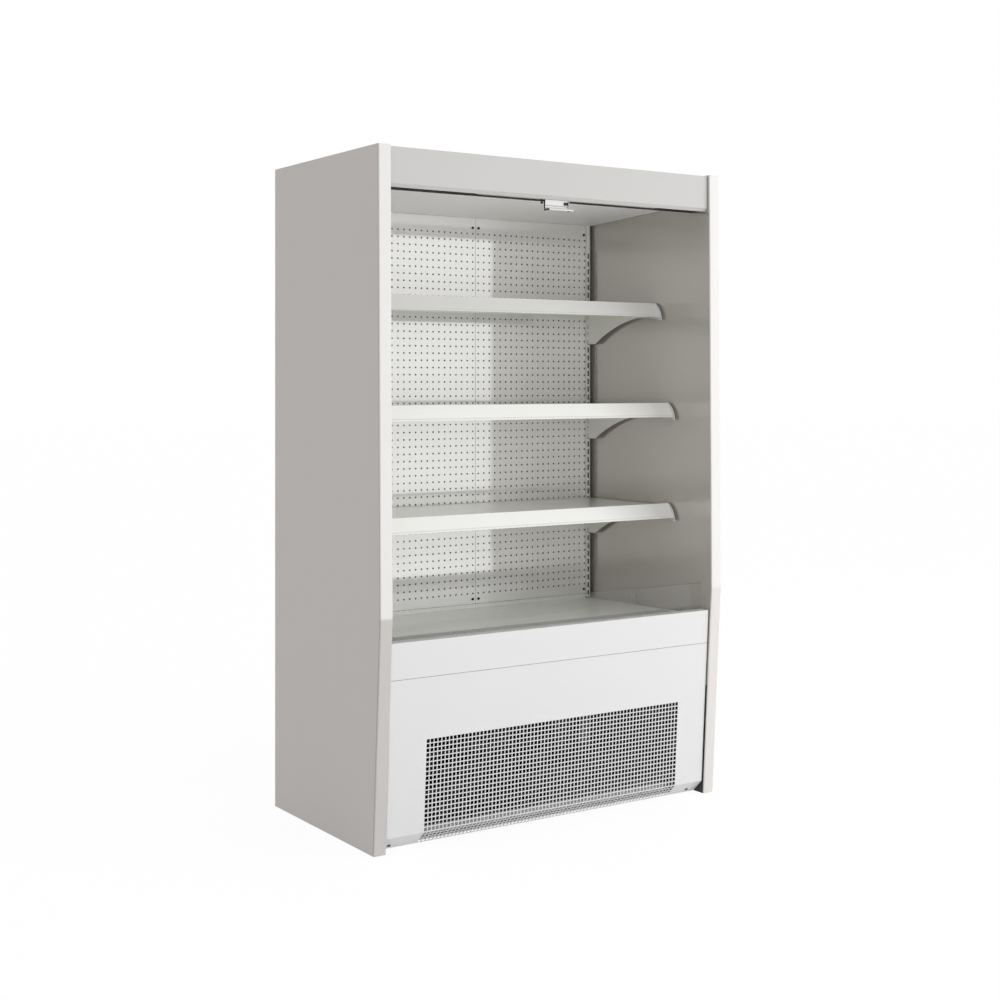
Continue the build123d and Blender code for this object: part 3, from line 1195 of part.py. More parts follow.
FAN_HOLE = EVAPORATOR_FAN_RADIUS + FAN_TIP_GAP
FAN_PLATE_HALF = INNER_X - LEDGE_WIDTH - LOOSE_GAP
with BuildPart() as evaporator_fan_plate:
    with BuildSketch(Plane.XZ.offset(-FAN_PLATE_Y)):
        with Locations((0, (WELL_FLOOR + FAN_PLATE_TOP) / 2)):
            Rectangle(2 * FAN_PLATE_HALF, FAN_PLATE_TOP - WELL_FLOOR)
        with Locations((0, EVAPORATOR_FAN_Z)):
            with GridLocations(2 * EVAPORATOR_FAN_X, 1, 2, 1):
                Circle(FAN_HOLE, mode=Mode.SUBTRACT)
    extrude(amount=-SHEET)
    for side_name, side in SIDES:
        add(fan_spider(side * EVAPORATOR_FAN_X, EVAPORATOR_FAN_Z, FAN_HOLE,
                       FAN_PLATE_Y + SHEET, EVAPORATOR_HUB_LENGTH))
evaporator_fan_plate.part.label = "evaporator_fan_plate"
export_step(evaporator_fan_plate.part, "parts/evaporator_fan_plate.step")

for side_name, side in SIDES:
    fan_y = FAN_PLATE_Y + SHEET - SEAT_GAP - EVAPORATOR_HUB_LENGTH / 2
    evaporator_fan = fan_rotor(
        (side * EVAPORATOR_FAN_X, fan_y, EVAPORATOR_FAN_Z),
        EVAPORATOR_FAN_RADIUS, EVAPORATOR_HUB_RADIUS, EVAPORATOR_HUB_LENGTH,
    )
    evaporator_fan.label = f"evaporator_fan_{side_name}"
    export_step(evaporator_fan, f"parts/evaporator_fan_{side_name}.step")


# ================================================================ refrigerant pipes
def pipe(points):
    """Pipe in its insulating sleeve through corner points, with one bend radius."""
    with BuildPart() as tube:
        with BuildLine() as path:
            FilletPolyline(*points, radius=PIPE_BEND)
        with BuildSketch(Plane(origin=path.line @ 0, z_dir=path.line % 0)):
            Circle(PIPE_RADIUS)
        sweep()
    return tube.part


with BuildPart() as refrigerant_pipes:
    coil_pipe_z = WELL_FLOOR + EVAPORATOR_LIFT + EVAPORATOR_HEIGHT / 2
    coil_end_x = EVAPORATOR_WIDTH / 2
    condenser_end_x = CONDENSER_X + CONDENSER_WIDTH / 2
    suction_end_x = COMPRESSOR_X + COMPRESSOR_RADIUS + STUB_LENGTH
    discharge_end_y = COMPRESSOR_Y - COMPRESSOR_RADIUS - STUB_LENGTH
    add(pipe([
        (coil_end_x, SUCTION_PIPE_Y, coil_pipe_z),
        (PIPE_X, SUCTION_PIPE_Y, coil_pipe_z),
        (PIPE_X, SUCTION_PIPE_Y, SUCTION_HEIGHT),
        (suction_end_x, COMPRESSOR_Y, SUCTION_HEIGHT),
    ]))
    add(pipe([
        (COMPRESSOR_X, discharge_end_y, DISCHARGE_HEIGHT),
        (COMPRESSOR_X, CONDENSER_Y, DISCHARGE_HEIGHT),
        (condenser_end_x, CONDENSER_Y, DISCHARGE_HEIGHT),
    ]))
    add(pipe([
        (condenser_end_x, CONDENSER_Y, LIQUID_HEIGHT),
        (PIPE_X, CONDENSER_Y, LIQUID_HEIGHT),
        (PIPE_X, LIQUID_PIPE_Y, LIQUID_HEIGHT),
        (PIPE_X, LIQUID_PIPE_Y, coil_pipe_z),
        (coil_end_x, LIQUID_PIPE_Y, coil_pipe_z),
    ]))
refrigerant_pipes.part.label = "refrigerant_pipes"
export_step(refrigerant_pipes.part, "parts/refrigerant_pipes.step")


# ================================================================ night blind
with BuildPart() as blind_brackets:
    for side_name, side in SIDES:
        with BuildSketch(Plane.YZ.offset(side * INNER_X)):
            with Locations((ROLLER_Y, ROLLER_HEIGHT)):
                RectangleRounded(BRACKET_SIZE, BRACKET_SIZE, BRACKET_SIZE / 8)
                Circle(PIN_RADIUS + PIN_FIT, mode=Mode.SUBTRACT)
        extrude(amount=-side * BRACKET_PLATE)
blind_brackets.part.label = "blind_brackets"
export_step(blind_brackets.part, "parts/blind_brackets.step")

ROLLER_HALF = INNER_X - BRACKET_PLATE - ROLLER_END_GAP
with BuildPart() as blind_roller:
    with BuildSketch(Plane.YZ.offset(-(INNER_X - LOOSE_GAP))):
        with Locations((ROLLER_Y, ROLLER_HEIGHT)):
            Circle(PIN_RADIUS)
    extrude(amount=2 * (INNER_X - LOOSE_GAP))
    with BuildSketch(Plane.YZ.offset(-ROLLER_HALF)):
        with Locations((ROLLER_Y, ROLLER_HEIGHT)):
            Circle(TUBE_OUTER)
    extrude(amount=2 * ROLLER_HALF)
    # the cloth wound on the tube
    with BuildSketch(Plane.YZ.offset(-CLOTH_HALF_WIDTH)):
        with Locations((ROLLER_Y, ROLLER_HEIGHT)):
            Circle(ROLL_OUTER)
    extrude(amount=2 * CLOTH_HALF_WIDTH)
blind_roller.part.label = "blind_roller"
export_step(blind_roller.part, "parts/blind_roller.step")

with BuildPart() as blind_cloth:
    with BuildSketch(Plane.XY.offset(BAR_TOP)):
        with Locations((0, CLOTH_Y - CLOTH / 2 - SEAT_GAP)):
            Rectangle(2 * CLOTH_HALF_WIDTH, CLOTH)
    extrude(amount=ROLLER_HEIGHT - BAR_TOP)
blind_cloth.part.label = "blind_cloth"
export_step(blind_cloth.part, "parts/blind_cloth.step")

BAR_FRONT_Y = CLOTH_Y - BAR_THICKNESS / 2
with BuildPart() as blind_pull_bar:
    with BuildSketch(Plane.XZ.offset(-BAR_FRONT_Y)):
        add(outline([
            (-BAR_HALF_WIDTH, BAR_TOP),
            (-BAR_HALF_WIDTH, BAR_END_BOTTOM),
            (BAR_MIDDLE_LEFT - BAR_TAPER, BAR_END_BOTTOM),
            (BAR_MIDDLE_LEFT, BAR_MIDDLE_BOTTOM),
            (BAR_MIDDLE_RIGHT, BAR_MIDDLE_BOTTOM),
            (BAR_MIDDLE_RIGHT + BAR_TAPER, BAR_END_BOTTOM),
            (BAR_HALF_WIDTH, BAR_END_BOTTOM),
            (BAR_HALF_WIDTH, BAR_TOP),
        ]))
    extrude(amount=-BAR_THICKNESS)
blind_pull_bar.part.label = "blind_pull_bar"
export_step(blind_pull_bar.part, "parts/blind_pull_bar.step")

# Handle: a slit plate under the bar's middle, two bent arms and a round finger bar in front
FINGER_BAR_Y = BAR_FRONT_Y - HANDLE_BAR_REACH
with BuildPart() as blind_handle:
    with BuildSketch(Plane.XZ.offset(-BAR_FRONT_Y)):
        with Locations((0, (HANDLE_BOTTOM + BAR_MIDDLE_BOTTOM) / 2)):
            Rectangle(HANDLE_WIDTH, BAR_MIDDLE_BOTTOM - HANDLE_BOTTOM)
        with Locations((0, HANDLE_SLIT_HEIGHT)):
            Rectangle(HANDLE_WIDTH - 4 * HANDLE_PLATE, HANDLE_SLIT, mode=Mode.SUBTRACT)
    extrude(amount=-BAR_THICKNESS / 2)
    with BuildSketch(Plane.YZ.offset(-HANDLE_WIDTH / 2)):
        with Locations((FINGER_BAR_Y, HANDLE_BAR_HEIGHT)):
            Circle(HANDLE_BAR_RADIUS)
    extrude(amount=HANDLE_WIDTH)
    arm_low = HANDLE_BAR_HEIGHT - HANDLE_BAR_RADIUS
    for side_name, side in SIDES:
        with BuildSketch(Plane.YZ.offset(side * HANDLE_WIDTH / 2)):
            add(outline([
                (BAR_FRONT_Y - HANDLE_ARM / 2, BAR_MIDDLE_BOTTOM),
                (BAR_FRONT_Y + HANDLE_ARM / 2, BAR_MIDDLE_BOTTOM),
                (BAR_FRONT_Y + HANDLE_ARM / 2, arm_low),
                (FINGER_BAR_Y, arm_low),
                (FINGER_BAR_Y, arm_low + 2 * HANDLE_BAR_RADIUS),
                (BAR_FRONT_Y - HANDLE_ARM / 2, arm_low + 2 * HANDLE_BAR_RADIUS),
            ]))
        extrude(amount=-side * HANDLE_PLATE)
blind_handle.part.label = "blind_handle"
export_step(blind_handle.part, "parts/blind_handle.step")
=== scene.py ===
"""Looks of the open multideck display fridge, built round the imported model.

Everything is in metres in the model's own frame: X to the right, Y to the back, Z up.
"""

import json
from math import hypot, pi, radians

import bmesh
import bpy
import numpy as np
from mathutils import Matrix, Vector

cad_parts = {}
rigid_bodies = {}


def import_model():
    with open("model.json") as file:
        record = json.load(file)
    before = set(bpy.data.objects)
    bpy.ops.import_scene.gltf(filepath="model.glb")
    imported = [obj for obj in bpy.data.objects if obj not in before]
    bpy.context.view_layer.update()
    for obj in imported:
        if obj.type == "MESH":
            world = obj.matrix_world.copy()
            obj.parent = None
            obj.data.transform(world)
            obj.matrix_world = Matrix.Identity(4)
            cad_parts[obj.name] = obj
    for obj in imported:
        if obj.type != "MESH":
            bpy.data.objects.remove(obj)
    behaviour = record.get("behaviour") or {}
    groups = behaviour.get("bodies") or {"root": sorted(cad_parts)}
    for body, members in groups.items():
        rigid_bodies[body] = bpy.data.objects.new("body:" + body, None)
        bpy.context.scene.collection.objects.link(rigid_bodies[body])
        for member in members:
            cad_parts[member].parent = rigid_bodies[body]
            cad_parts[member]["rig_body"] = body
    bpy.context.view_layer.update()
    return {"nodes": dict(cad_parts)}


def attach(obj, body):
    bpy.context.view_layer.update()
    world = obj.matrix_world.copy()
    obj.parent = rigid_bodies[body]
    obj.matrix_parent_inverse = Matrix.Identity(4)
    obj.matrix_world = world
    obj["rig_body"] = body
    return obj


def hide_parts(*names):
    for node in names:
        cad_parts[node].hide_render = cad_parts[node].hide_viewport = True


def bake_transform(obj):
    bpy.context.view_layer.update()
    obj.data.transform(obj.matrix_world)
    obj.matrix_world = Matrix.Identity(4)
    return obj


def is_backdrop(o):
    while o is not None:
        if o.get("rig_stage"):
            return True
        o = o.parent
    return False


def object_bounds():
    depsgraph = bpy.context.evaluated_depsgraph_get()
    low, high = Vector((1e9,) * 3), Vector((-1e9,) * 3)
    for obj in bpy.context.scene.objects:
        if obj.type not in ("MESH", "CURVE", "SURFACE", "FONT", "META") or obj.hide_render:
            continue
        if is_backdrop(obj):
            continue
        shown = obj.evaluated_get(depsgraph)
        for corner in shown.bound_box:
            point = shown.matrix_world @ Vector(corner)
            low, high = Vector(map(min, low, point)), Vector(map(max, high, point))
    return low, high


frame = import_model()
nodes = frame["nodes"]


# ---------------------------------------------------------------- camera
camera_data = bpy.data.cameras.new("camera")
camera_data.lens = 56.095
camera_data.sensor_width = 36.0
camera_data.shift_y = -0.11815
camera = bpy.data.objects.new("camera", camera_data)
camera.location = (-2.486, -3.7376, 1.19986)
camera.rotation_euler = (pi / 2, 0.0, radians(-33.75))
bpy.context.scene.collection.objects.link(camera)
bpy.context.scene.camera = camera
bpy.context.scene.view_settings.view_transform = "Standard"


# ---------------------------------------------------------------- sizes that the new pieces share
KNEE = 0.603                     # height at which the end walls come furthest forward
FRONT = -0.327                   # y of their front edge there
TOP_LEAN = 0.010 / 1.197         # how much the front edge leans back above the knee, per metre
FOOT_LEAN = 0.036 / KNEE         # and below it
BAY_CEILING = 0.319              # height of the machine compartment's ceiling
DUCT_FRONT = 0.256               # y of the duct panels' front faces
DUCT_FOOT, DUCT_TOP = 0.505, 1.699
DUCT_SHADE_FROM = (0.5105, 0.25)     # x and y past which the duct panels carry painted shade, behind the hollow uprights
UPRIGHT_SHADE_FROM = (0.5098, 0.2477)    # and the uprights, inside their hollow
GRILLE_TOP = 0.510               # height of the return grille's top at the duct panels
GRILLE_SLOPE = 0.02              # its rise per metre towards the front
GLASS_TOP, GLASS_SIDE = 0.6132, 0.5286    # z and x past which the glass shows its ground edges
SHELF_TOP, SHELF_PITCH = 1.437, 0.3       # height of the top shelf's deck, and from shelf to shelf
GROOVE_DROP = 0.0365             # of a ticket strip's groove below its shelf's top
SEAM_START, SEAM_WIDTH = 0.0045, 0.0024   # painted shade: dark line on the end skins, behind the front edge, along their seam with the trims
FOAM_SHADE_START, FOAM_SHADE_WIDTH = 0.0095, 0.004    # and painted shade on the foam, further behind it
CLOTH_WIDTH = 1.010
CLOTH_Y = -0.2916                # y of the hanging cloth
CLOTH_FOOT = 1.712               # height of its lower end
ROLLER = (-0.2715, 1.768)        # y and z of the blind roller's axis


# ---------------------------------------------------------------- node groups
def new_group(name, inputs, outputs):
    """Empty shader node group with named sockets; inputs and outputs are (name, kind, default)."""
    group = bpy.data.node_groups.new(name, "ShaderNodeTree")
    for way, sockets in (("INPUT", inputs), ("OUTPUT", outputs)):
        for label, kind, default in sockets:
            socket = group.interface.new_socket(name=label, in_out=way, socket_type="NodeSocket" + kind)
            if default is not None:
                socket.default_value = default
    return group, group.nodes.new("NodeGroupInput"), group.nodes.new("NodeGroupOutput")


def feed(tree, node, values):
    """Fills a node's inputs: a socket is linked, anything else set; values are pairs of key and value."""
    for key, value in values:
        if isinstance(value, bpy.types.NodeSocket):
            tree.links.new(value, node.inputs[key])
        else:
            node.inputs[key].default_value = value
    return node


def place(tree, kind, sockets=None, **settings):
    """Node of one kind in a tree; sockets sets input values or links, settings its properties."""
    node = tree.nodes.new("ShaderNode" + kind)
    for key, value in settings.items():
        setattr(node, key, value)
    return feed(tree, node, (sockets or {}).items())


def object_axes(tree):
    """The X, Y and Z of a point on the piece, which are its place in the model's frame."""
    return place(tree, "SeparateXYZ", {0: place(tree, "TexCoord").outputs["Object"]}).outputs


def maths(tree, operation, first, second=0.0, third=0.0, clamp=False):
    """Output of one Math node whose inputs are numbers or sockets."""
    node = place(tree, "Math", {0: first, 1: second, 2: third}, operation=operation, use_clamp=clamp)
    return node.outputs[0]


def blended(tree, share, first, second, blend="MIX"):
    """Colour output of one Mix node."""
    node = tree.nodes.new("ShaderNodeMix")
    node.data_type, node.blend_type = "RGBA", blend
    return feed(tree, node, ((0, share), (6, first), (7, second))).outputs[2]


def shifted(tree, value, low, high, to_low, to_high):
    """Value moved from one range to another and clamped there."""
    node = place(tree, "MapRange", {0: value, 1: low, 2: high, 3: to_low, 4: to_high})
    return node.outputs[0]


def make_tone_group():
    """Slow drift of a colour: colour times 1 + amount * (noise - 0.5)."""
    tree, ins, outs = new_group(
        "tone drift",
        [("Color", "Color", (0.8, 0.8, 0.8, 1)), ("Amount", "Float", 0.05), ("Scale", "Float", 4.0)],
        [("Color", "Color", None)],
    )
    where = place(tree, "TexCoord").outputs["Object"]
    wide = place(tree, "TexNoise", {"Vector": where, "Scale": ins.outputs["Scale"], "Detail": 3.0})
    level = maths(tree, "SUBTRACT", wide.outputs["Fac"], 0.5)
    factor = maths(tree, "MULTIPLY_ADD", level, ins.outputs["Amount"], 1.0)
    grey = place(tree, "CombineColor", {0: factor, 1: factor, 2: factor}).outputs[0]
    tree.links.new(blended(tree, 1.0, ins.outputs["Color"], grey, "MULTIPLY"), outs.inputs["Color"])
    return tree


def make_texture_group():
    """Fine relief of a sprayed or moulded surface: noise of one scale raised by a depth in metres."""
    tree, ins, outs = new_group(
        "fine relief",
        [("Scale", "Float", 600.0), ("Depth", "Float", 0.00002), ("Stretch", "Vector", (1, 1, 1))],
        [("Normal", "Vector", None)],
    )
    where = place(tree, "TexCoord").outputs["Object"]
    drawn = place(tree, "VectorMath", {0: where, 1: ins.outputs["Stretch"]}, operation="MULTIPLY")
    grain = place(tree, "TexNoise", {"Vector": drawn.outputs[0], "Scale": ins.outputs["Scale"], "Detail": 2.0})
    bump = place(tree, "Bump", {"Height": grain.outputs["Fac"], "Distance": ins.outputs["Depth"]})
    tree.links.new(bump.outputs["Normal"], outs.inputs["Normal"])
    return tree


def make_handling_group():
    """Roughness that wanders where hands and cloths have rubbed: base + spread * (noise - 0.5)."""
    tree, ins, outs = new_group(
        "handled gloss",
        [("Roughness", "Float", 0.4), ("Spread", "Float", 0.1), ("Scale", "Float", 9.0)],
        [("Roughness", "Float", None)],
    )
    where = place(tree, "TexCoord").outputs["Object"]
    cloud = place(tree, "TexNoise", {"Vector": where, "Scale": ins.outputs["Scale"], "Detail": 5.0})
    level = maths(tree, "SUBTRACT", cloud.outputs["Fac"], 0.5)
    value = maths(tree, "MULTIPLY_ADD", level, ins.outputs["Spread"], ins.outputs["Roughness"], clamp=True)
    tree.links.new(value, outs.inputs["Roughness"])
    return tree


def make_dust_group():
    """Thin dust on surfaces that face up: colour mixed towards dust by the normal's Z and a noise."""
    tree, ins, outs = new_group(
        "settled dust",
        [("Color", "Color", (0.8, 0.8, 0.8, 1)), ("Amount", "Float", 0.15)],
        [("Color", "Color", None)],
    )
    up = place(tree, "SeparateXYZ", {0: place(tree, "NewGeometry").outputs["Normal"]}).outputs["Z"]
    where = place(tree, "TexCoord").outputs["Object"]
    flecks = place(tree, "TexNoise", {"Vector": where, "Scale": 60.0, "Detail": 6.0}).outputs["Fac"]
    cover = maths(tree, "MULTIPLY", shifted(tree, up, 0.6, 1.0, 0.0, 1.0), shifted(tree, flecks, 0.3, 0.7, 0.4, 1.0))
    share = maths(tree, "MULTIPLY", cover, ins.outputs["Amount"], clamp=True)
    tree.links.new(blended(tree, share, ins.outputs["Color"], (0.42, 0.40, 0.37, 1)), outs.inputs["Color"])
    return tree


def make_seam_group():
    """Mask of painted shade in a line that runs `Start` behind the end walls' front edge: 1 there, falling to 0
    within `Width`.
    """
    tree, ins, outs = new_group(
        "trim seam", [("Start", "Float", 0.004), ("Width", "Float", 0.0025)], [("Mask", "Float", None)],
    )
    axes = object_axes(tree)
    y, z = axes["Y"], axes["Z"]
    above = maths(tree, "MULTIPLY_ADD", z, TOP_LEAN, FRONT - TOP_LEAN * KNEE)
    below = maths(tree, "MULTIPLY_ADD", z, -FOOT_LEAN, FRONT + FOOT_LEAN * KNEE)
    behind = maths(tree, "SUBTRACT", y, maths(tree, "MAXIMUM", above, below))
    distance = maths(tree, "ABSOLUTE", maths(tree, "SUBTRACT", behind, ins.outputs["Start"]))
    share = maths(tree, "DIVIDE", distance, ins.outputs["Width"])
    tree.links.new(maths(tree, "SUBTRACT", 1.0, share, clamp=True), outs.inputs["Mask"])
    return tree


TONE = make_tone_group()
RELIEF = make_texture_group()
HANDLED = make_handling_group()
DUST = make_dust_group()
SEAM = make_seam_group()


def use(tree, group, **sockets):
    """The group placed in a material's tree, with its inputs set or linked."""
    node = tree.nodes.new("ShaderNodeGroup")
    node.node_tree = group
    return feed(tree, node, sockets.items()).outputs


def linear(red, green, blue):
    """Linear colour of an 8-bit display colour."""
    def channel(value):
        share = value / 255
        return share / 12.92 if share <= 0.04045 else ((share + 0.055) / 1.055) ** 2.4

    return (channel(red), channel(green), channel(blue), 1.0)


def darker(colour, share):
    """The colour at a share of its brightness."""
    return tuple(share * channel for channel in colour[:3]) + (1.0,)


def blank(name, **plain):
    """Material with one Principled shader; plain values go on its own sockets."""
    material = bpy.data.materials.new(name)
    material.use_nodes = True
    tree = material.node_tree
    shader = tree.nodes["Principled BSDF"]
    for key, value in plain.items():
        shader.inputs[key.replace("_", " ")].default_value = value
    return material, tree, shader


def coated(name, colour, roughness, drift=0.04, relief=(450.0, 0.00002), spread=0.08,
           dust=0.0, stretch=(1, 1, 1), seam=False, **plain):
    """Sprayed, moulded or drawn finish: drifting colour, wandering gloss and a fine relief, and with seam a line of
    painted shade along the end walls' trim seam.
    """
    material, tree, shader = blank(name, **plain)
    tone = use(tree, TONE, Color=colour, Amount=drift, Scale=3.0)["Color"]
    if dust:
        tone = use(tree, DUST, Color=tone, Amount=dust)["Color"]
    if seam:
        # painted shade: the seam between the end skins and their trims darkened in colour
        seam_shade_mask = use(tree, SEAM, Start=SEAM_START, Width=SEAM_WIDTH)["Mask"]
        tone = blended(tree, maths(tree, "MULTIPLY", seam_shade_mask, 0.8), tone, linear(60, 58, 56))
    tree.links.new(tone, shader.inputs["Base Color"])
    gloss = use(tree, HANDLED, Roughness=roughness, Spread=spread, Scale=7.0)["Roughness"]
    tree.links.new(gloss, shader.inputs["Roughness"])
    fine = use(tree, RELIEF, Scale=relief[0], Depth=relief[1], Stretch=stretch)["Normal"]
    tree.links.new(fine, shader.inputs["Normal"])
    return material


def galvanised(name, colour):
    """Zinc-coated sheet: flat crystals of slightly different tone and gloss."""
    material, tree, shader = blank(name, Metallic=0.85)
    where = place(tree, "TexCoord").outputs["Object"]
    crystals = place(tree, "TexVoronoi", {"Vector": where, "Scale": 90.0})
    level = place(tree, "SeparateColor", {0: crystals.outputs["Color"]}).outputs[0]
    crystal_tone = blended(tree, level, darker(colour, 0.72), colour)
    tone = use(tree, TONE, Color=crystal_tone, Amount=0.10, Scale=2.0)["Color"]
    tree.links.new(tone, shader.inputs["Base Color"])
    tree.links.new(shifted(tree, level, 0.0, 1.0, 0.34, 0.50), shader.inputs["Roughness"])
    fine = use(tree, RELIEF, Scale=200.0, Depth=0.00002)["Normal"]
    tree.links.new(fine, shader.inputs["Normal"])
    return material


def shaded_hollow_lacquer(name, colour, roughness, side, behind, **plain):
    """Glossy lacquer with painted shade, black and dull, beyond x = `side` and behind y = `behind`, where the
    uprights are hollow.
    """
    material, tree, shader = blank(name, **plain)
    axes = object_axes(tree)
    wide = maths(tree, "GREATER_THAN", maths(tree, "ABSOLUTE", axes["X"]), side)
    hollow_shade = maths(tree, "MULTIPLY", wide, maths(tree, "GREATER_THAN", axes["Y"], behind))
    tone = use(tree, TONE, Color=colour, Amount=0.02, Scale=3.0)["Color"]
    # painted shade: black inside the hollow uprights and on the duct panels behind them
    tree.links.new(blended(tree, hollow_shade, tone, linear(26, 25, 24)), shader.inputs["Base Color"])
    gloss = use(tree, HANDLED, Roughness=roughness, Spread=0.03, Scale=7.0)["Roughness"]
    tree.links.new(maths(tree, "MAXIMUM", gloss, hollow_shade), shader.inputs["Roughness"])
    fine = use(tree, RELIEF, Scale=260.0, Depth=0.000004)["Normal"]
    tree.links.new(fine, shader.inputs["Normal"])
    return material


def liner_finish(name, colour, compartment_shade_below):
    """Polished grey lining of the end walls, with painted shade below the height it is given, in the machine
    compartment: dull dark sheet there.
    """
    material, tree, shader = blank(name)
    # painted shade: the lining is dark, dull and not metallic in the enclosed machine compartment
    compartment_shade = maths(tree, "LESS_THAN", object_axes(tree)["Z"], compartment_shade_below)
    tone = use(tree, TONE, Color=colour, Amount=0.02, Scale=3.0)["Color"]
    tree.links.new(blended(tree, compartment_shade, tone, linear(48, 47, 46)), shader.inputs["Base Color"])
    gloss = use(tree, HANDLED, Roughness=0.16, Spread=0.03, Scale=7.0)["Roughness"]
    tree.links.new(maths(tree, "MAXIMUM", gloss, maths(tree, "MULTIPLY", compartment_shade, 0.7)), shader.inputs["Roughness"])
    tree.links.new(maths(tree, "MULTIPLY_ADD", compartment_shade, -0.42, 0.42), shader.inputs["Metallic"])
    return material


def handle_finish(name, colour):
    """Moulded handle: white, with painted shade on the left-hand flanks of its arms, the faces that turn to -X."""
    material, tree, shader = blank(name, Roughness=0.3)
    facing = place(tree, "SeparateXYZ", {0: place(tree, "NewGeometry").outputs["Normal"]}).outputs["X"]
    shaded_flank = maths(tree, "LESS_THAN", facing, -0.5)
    tone = use(tree, TONE, Color=colour, Amount=0.02, Scale=9.0)["Color"]
    # painted shade: faces turned to -X are dark grey
    tree.links.new(blended(tree, shaded_flank, tone, linear(72, 70, 68)), shader.inputs["Base Color"])
    return material


def strip_finish(name, colour):
    """Extruded ticket strip with a groove above its lower lip, raised in relief and darkened in colour as painted
    shade.

    The drop from a shelf's top to a point is (SHELF_TOP + SHELF_PITCH + lip - z) modulo SHELF_PITCH, minus the
    lip, by which a strip may stand above its shelf.
    """
    lip = 0.01
    material, tree, shader = blank(name, Roughness=0.26, Metallic=0.25)
    down = maths(tree, "SUBTRACT", SHELF_TOP + SHELF_PITCH + lip, object_axes(tree)["Z"])
    drop = maths(tree, "SUBTRACT", maths(tree, "MODULO", down, SHELF_PITCH), lip)
    distance = maths(tree, "ABSOLUTE", maths(tree, "SUBTRACT", drop, GROOVE_DROP))
    groove = shifted(tree, distance, 0.0003, 0.0012, 1.0, 0.0)
    tone = use(tree, TONE, Color=colour, Amount=0.03, Scale=3.0)["Color"]
    # painted shade: the groove darkened in colour
    tree.links.new(blended(tree, groove, tone, darker(colour, 0.84)), shader.inputs["Base Color"])
    relief = maths(tree, "SUBTRACT", 1.0, groove)
    bump = place(tree, "Bump", {"Height": relief, "Distance": 0.0004})
    tree.links.new(bump.outputs["Normal"], shader.inputs["Normal"])
    return material


def trim_finish(name, upper, shaded_lower_left, shaded_lower_right):
    """Smooth edge trim, a little greyer and warmer on the part that leans back below the knee: painted shade there,
    deeper on the left-hand trim than on the right.
    """
    bend = 0.004
    material, tree, shader = blank(name, Roughness=0.35)
    axes = object_axes(tree)
    # painted shade: below the knee the trims are darker, the left-hand one more than the right
    lower = blended(tree, maths(tree, "GREATER_THAN", axes["X"], 0.0), shaded_lower_left, shaded_lower_right)
    share = shifted(tree, axes["Z"], KNEE - bend, KNEE + bend, 0.0, 1.0)
    tone = use(tree, TONE, Color=blended(tree, share, lower, upper), Amount=0.02, Scale=3.0)["Color"]
    tree.links.new(tone, shader.inputs["Base Color"])
    return material


def foam_finish(name, foam_shade_below):
    """Rigid foam: small closed cells on a pale yellow ground.

    Painted shade makes it dark behind the front panels and, below the height it is given, in the machine
    compartment.
    """
    material, tree, shader = blank(name, Roughness=0.9)
    where = place(tree, "TexCoord").outputs["Object"]
    cells = place(tree, "TexVoronoi", {"Vector": where, "Scale": 700.0}).outputs["Distance"]
    shade = shifted(tree, cells, 0.0, 0.6, 1.0, 0.0)
    tone = blended(tree, shade, linear(232, 214, 168), linear(196, 170, 118))
    tone = use(tree, TONE, Color=tone, Amount=0.12, Scale=9.0)["Color"]
    # painted shade: dark where the foam lies behind the front panels and in the machine compartment
    foam_shade = shifted(tree, use(tree, SEAM, Start=FOAM_SHADE_START, Width=FOAM_SHADE_WIDTH)["Mask"], 0.0, 0.2, 0.0, 1.0)
    under = maths(tree, "LESS_THAN", place(tree, "SeparateXYZ", {0: where}).outputs["Z"], foam_shade_below)
    foam_shade = maths(tree, "MAXIMUM", foam_shade, under)
    tree.links.new(blended(tree, foam_shade, tone, linear(40, 40, 41)), shader.inputs["Base Color"])
    bump = place(tree, "Bump", {"Height": cells, "Distance": 0.0003})
    tree.links.new(bump.outputs["Normal"], shader.inputs["Normal"])
    return material


def woven(name, colour):
    """Blind cloth: plain weave from sin(rate * x) * sin(rate * z), a wave of each to every two threads."""
    two_threads = 0.0009
    material, tree, shader = blank(name, Roughness=0.85, Sheen_Weight=0.2)
    axes = object_axes(tree)
    rate = 2 * pi / two_threads
    warp, weft = (maths(tree, "SINE", maths(tree, "MULTIPLY", axes[axis], rate)) for axis in "XZ")
    over = maths(tree, "MULTIPLY", warp, weft)
    level = shifted(tree, over, -1.0, 1.0, 0.0, 1.0)
    thread_tone = blended(tree, level, darker(colour, 0.86), colour)
    tone = use(tree, TONE, Color=thread_tone, Amount=0.05, Scale=12.0)["Color"]
    tree.links.new(tone, shader.inputs["Base Color"])
    bump = place(tree, "Bump", {"Height": level, "Distance": 0.0001})
    tree.links.new(bump.outputs["Normal"], shader.inputs["Normal"])
    return material


def grille_finish(name, colour, inside):
    """Ribbed tray: `colour` on its sloping top, and `inside` on all that lies lower, as painted shade on the slots'
    walls.

    The top lies at height z = GRILLE_TOP + GRILLE_SLOPE * (DUCT_FRONT - y).
    """
    skin = 0.0002
    material, tree, shader = blank(name, Roughness=0.4)
    axes = object_axes(tree)
    level = maths(tree, "MULTIPLY_ADD", axes["Y"], GRILLE_SLOPE, axes["Z"])
    low = maths(tree, "LESS_THAN", level, GRILLE_TOP - skin + GRILLE_SLOPE * DUCT_FRONT)
    tone = use(tree, TONE, Color=colour, Amount=0.02, Scale=3.0)["Color"]
    # painted shade: everything below the top, the walls of the slots, is darker
    tree.links.new(blended(tree, low, tone, inside), shader.inputs["Base Color"])
    return material


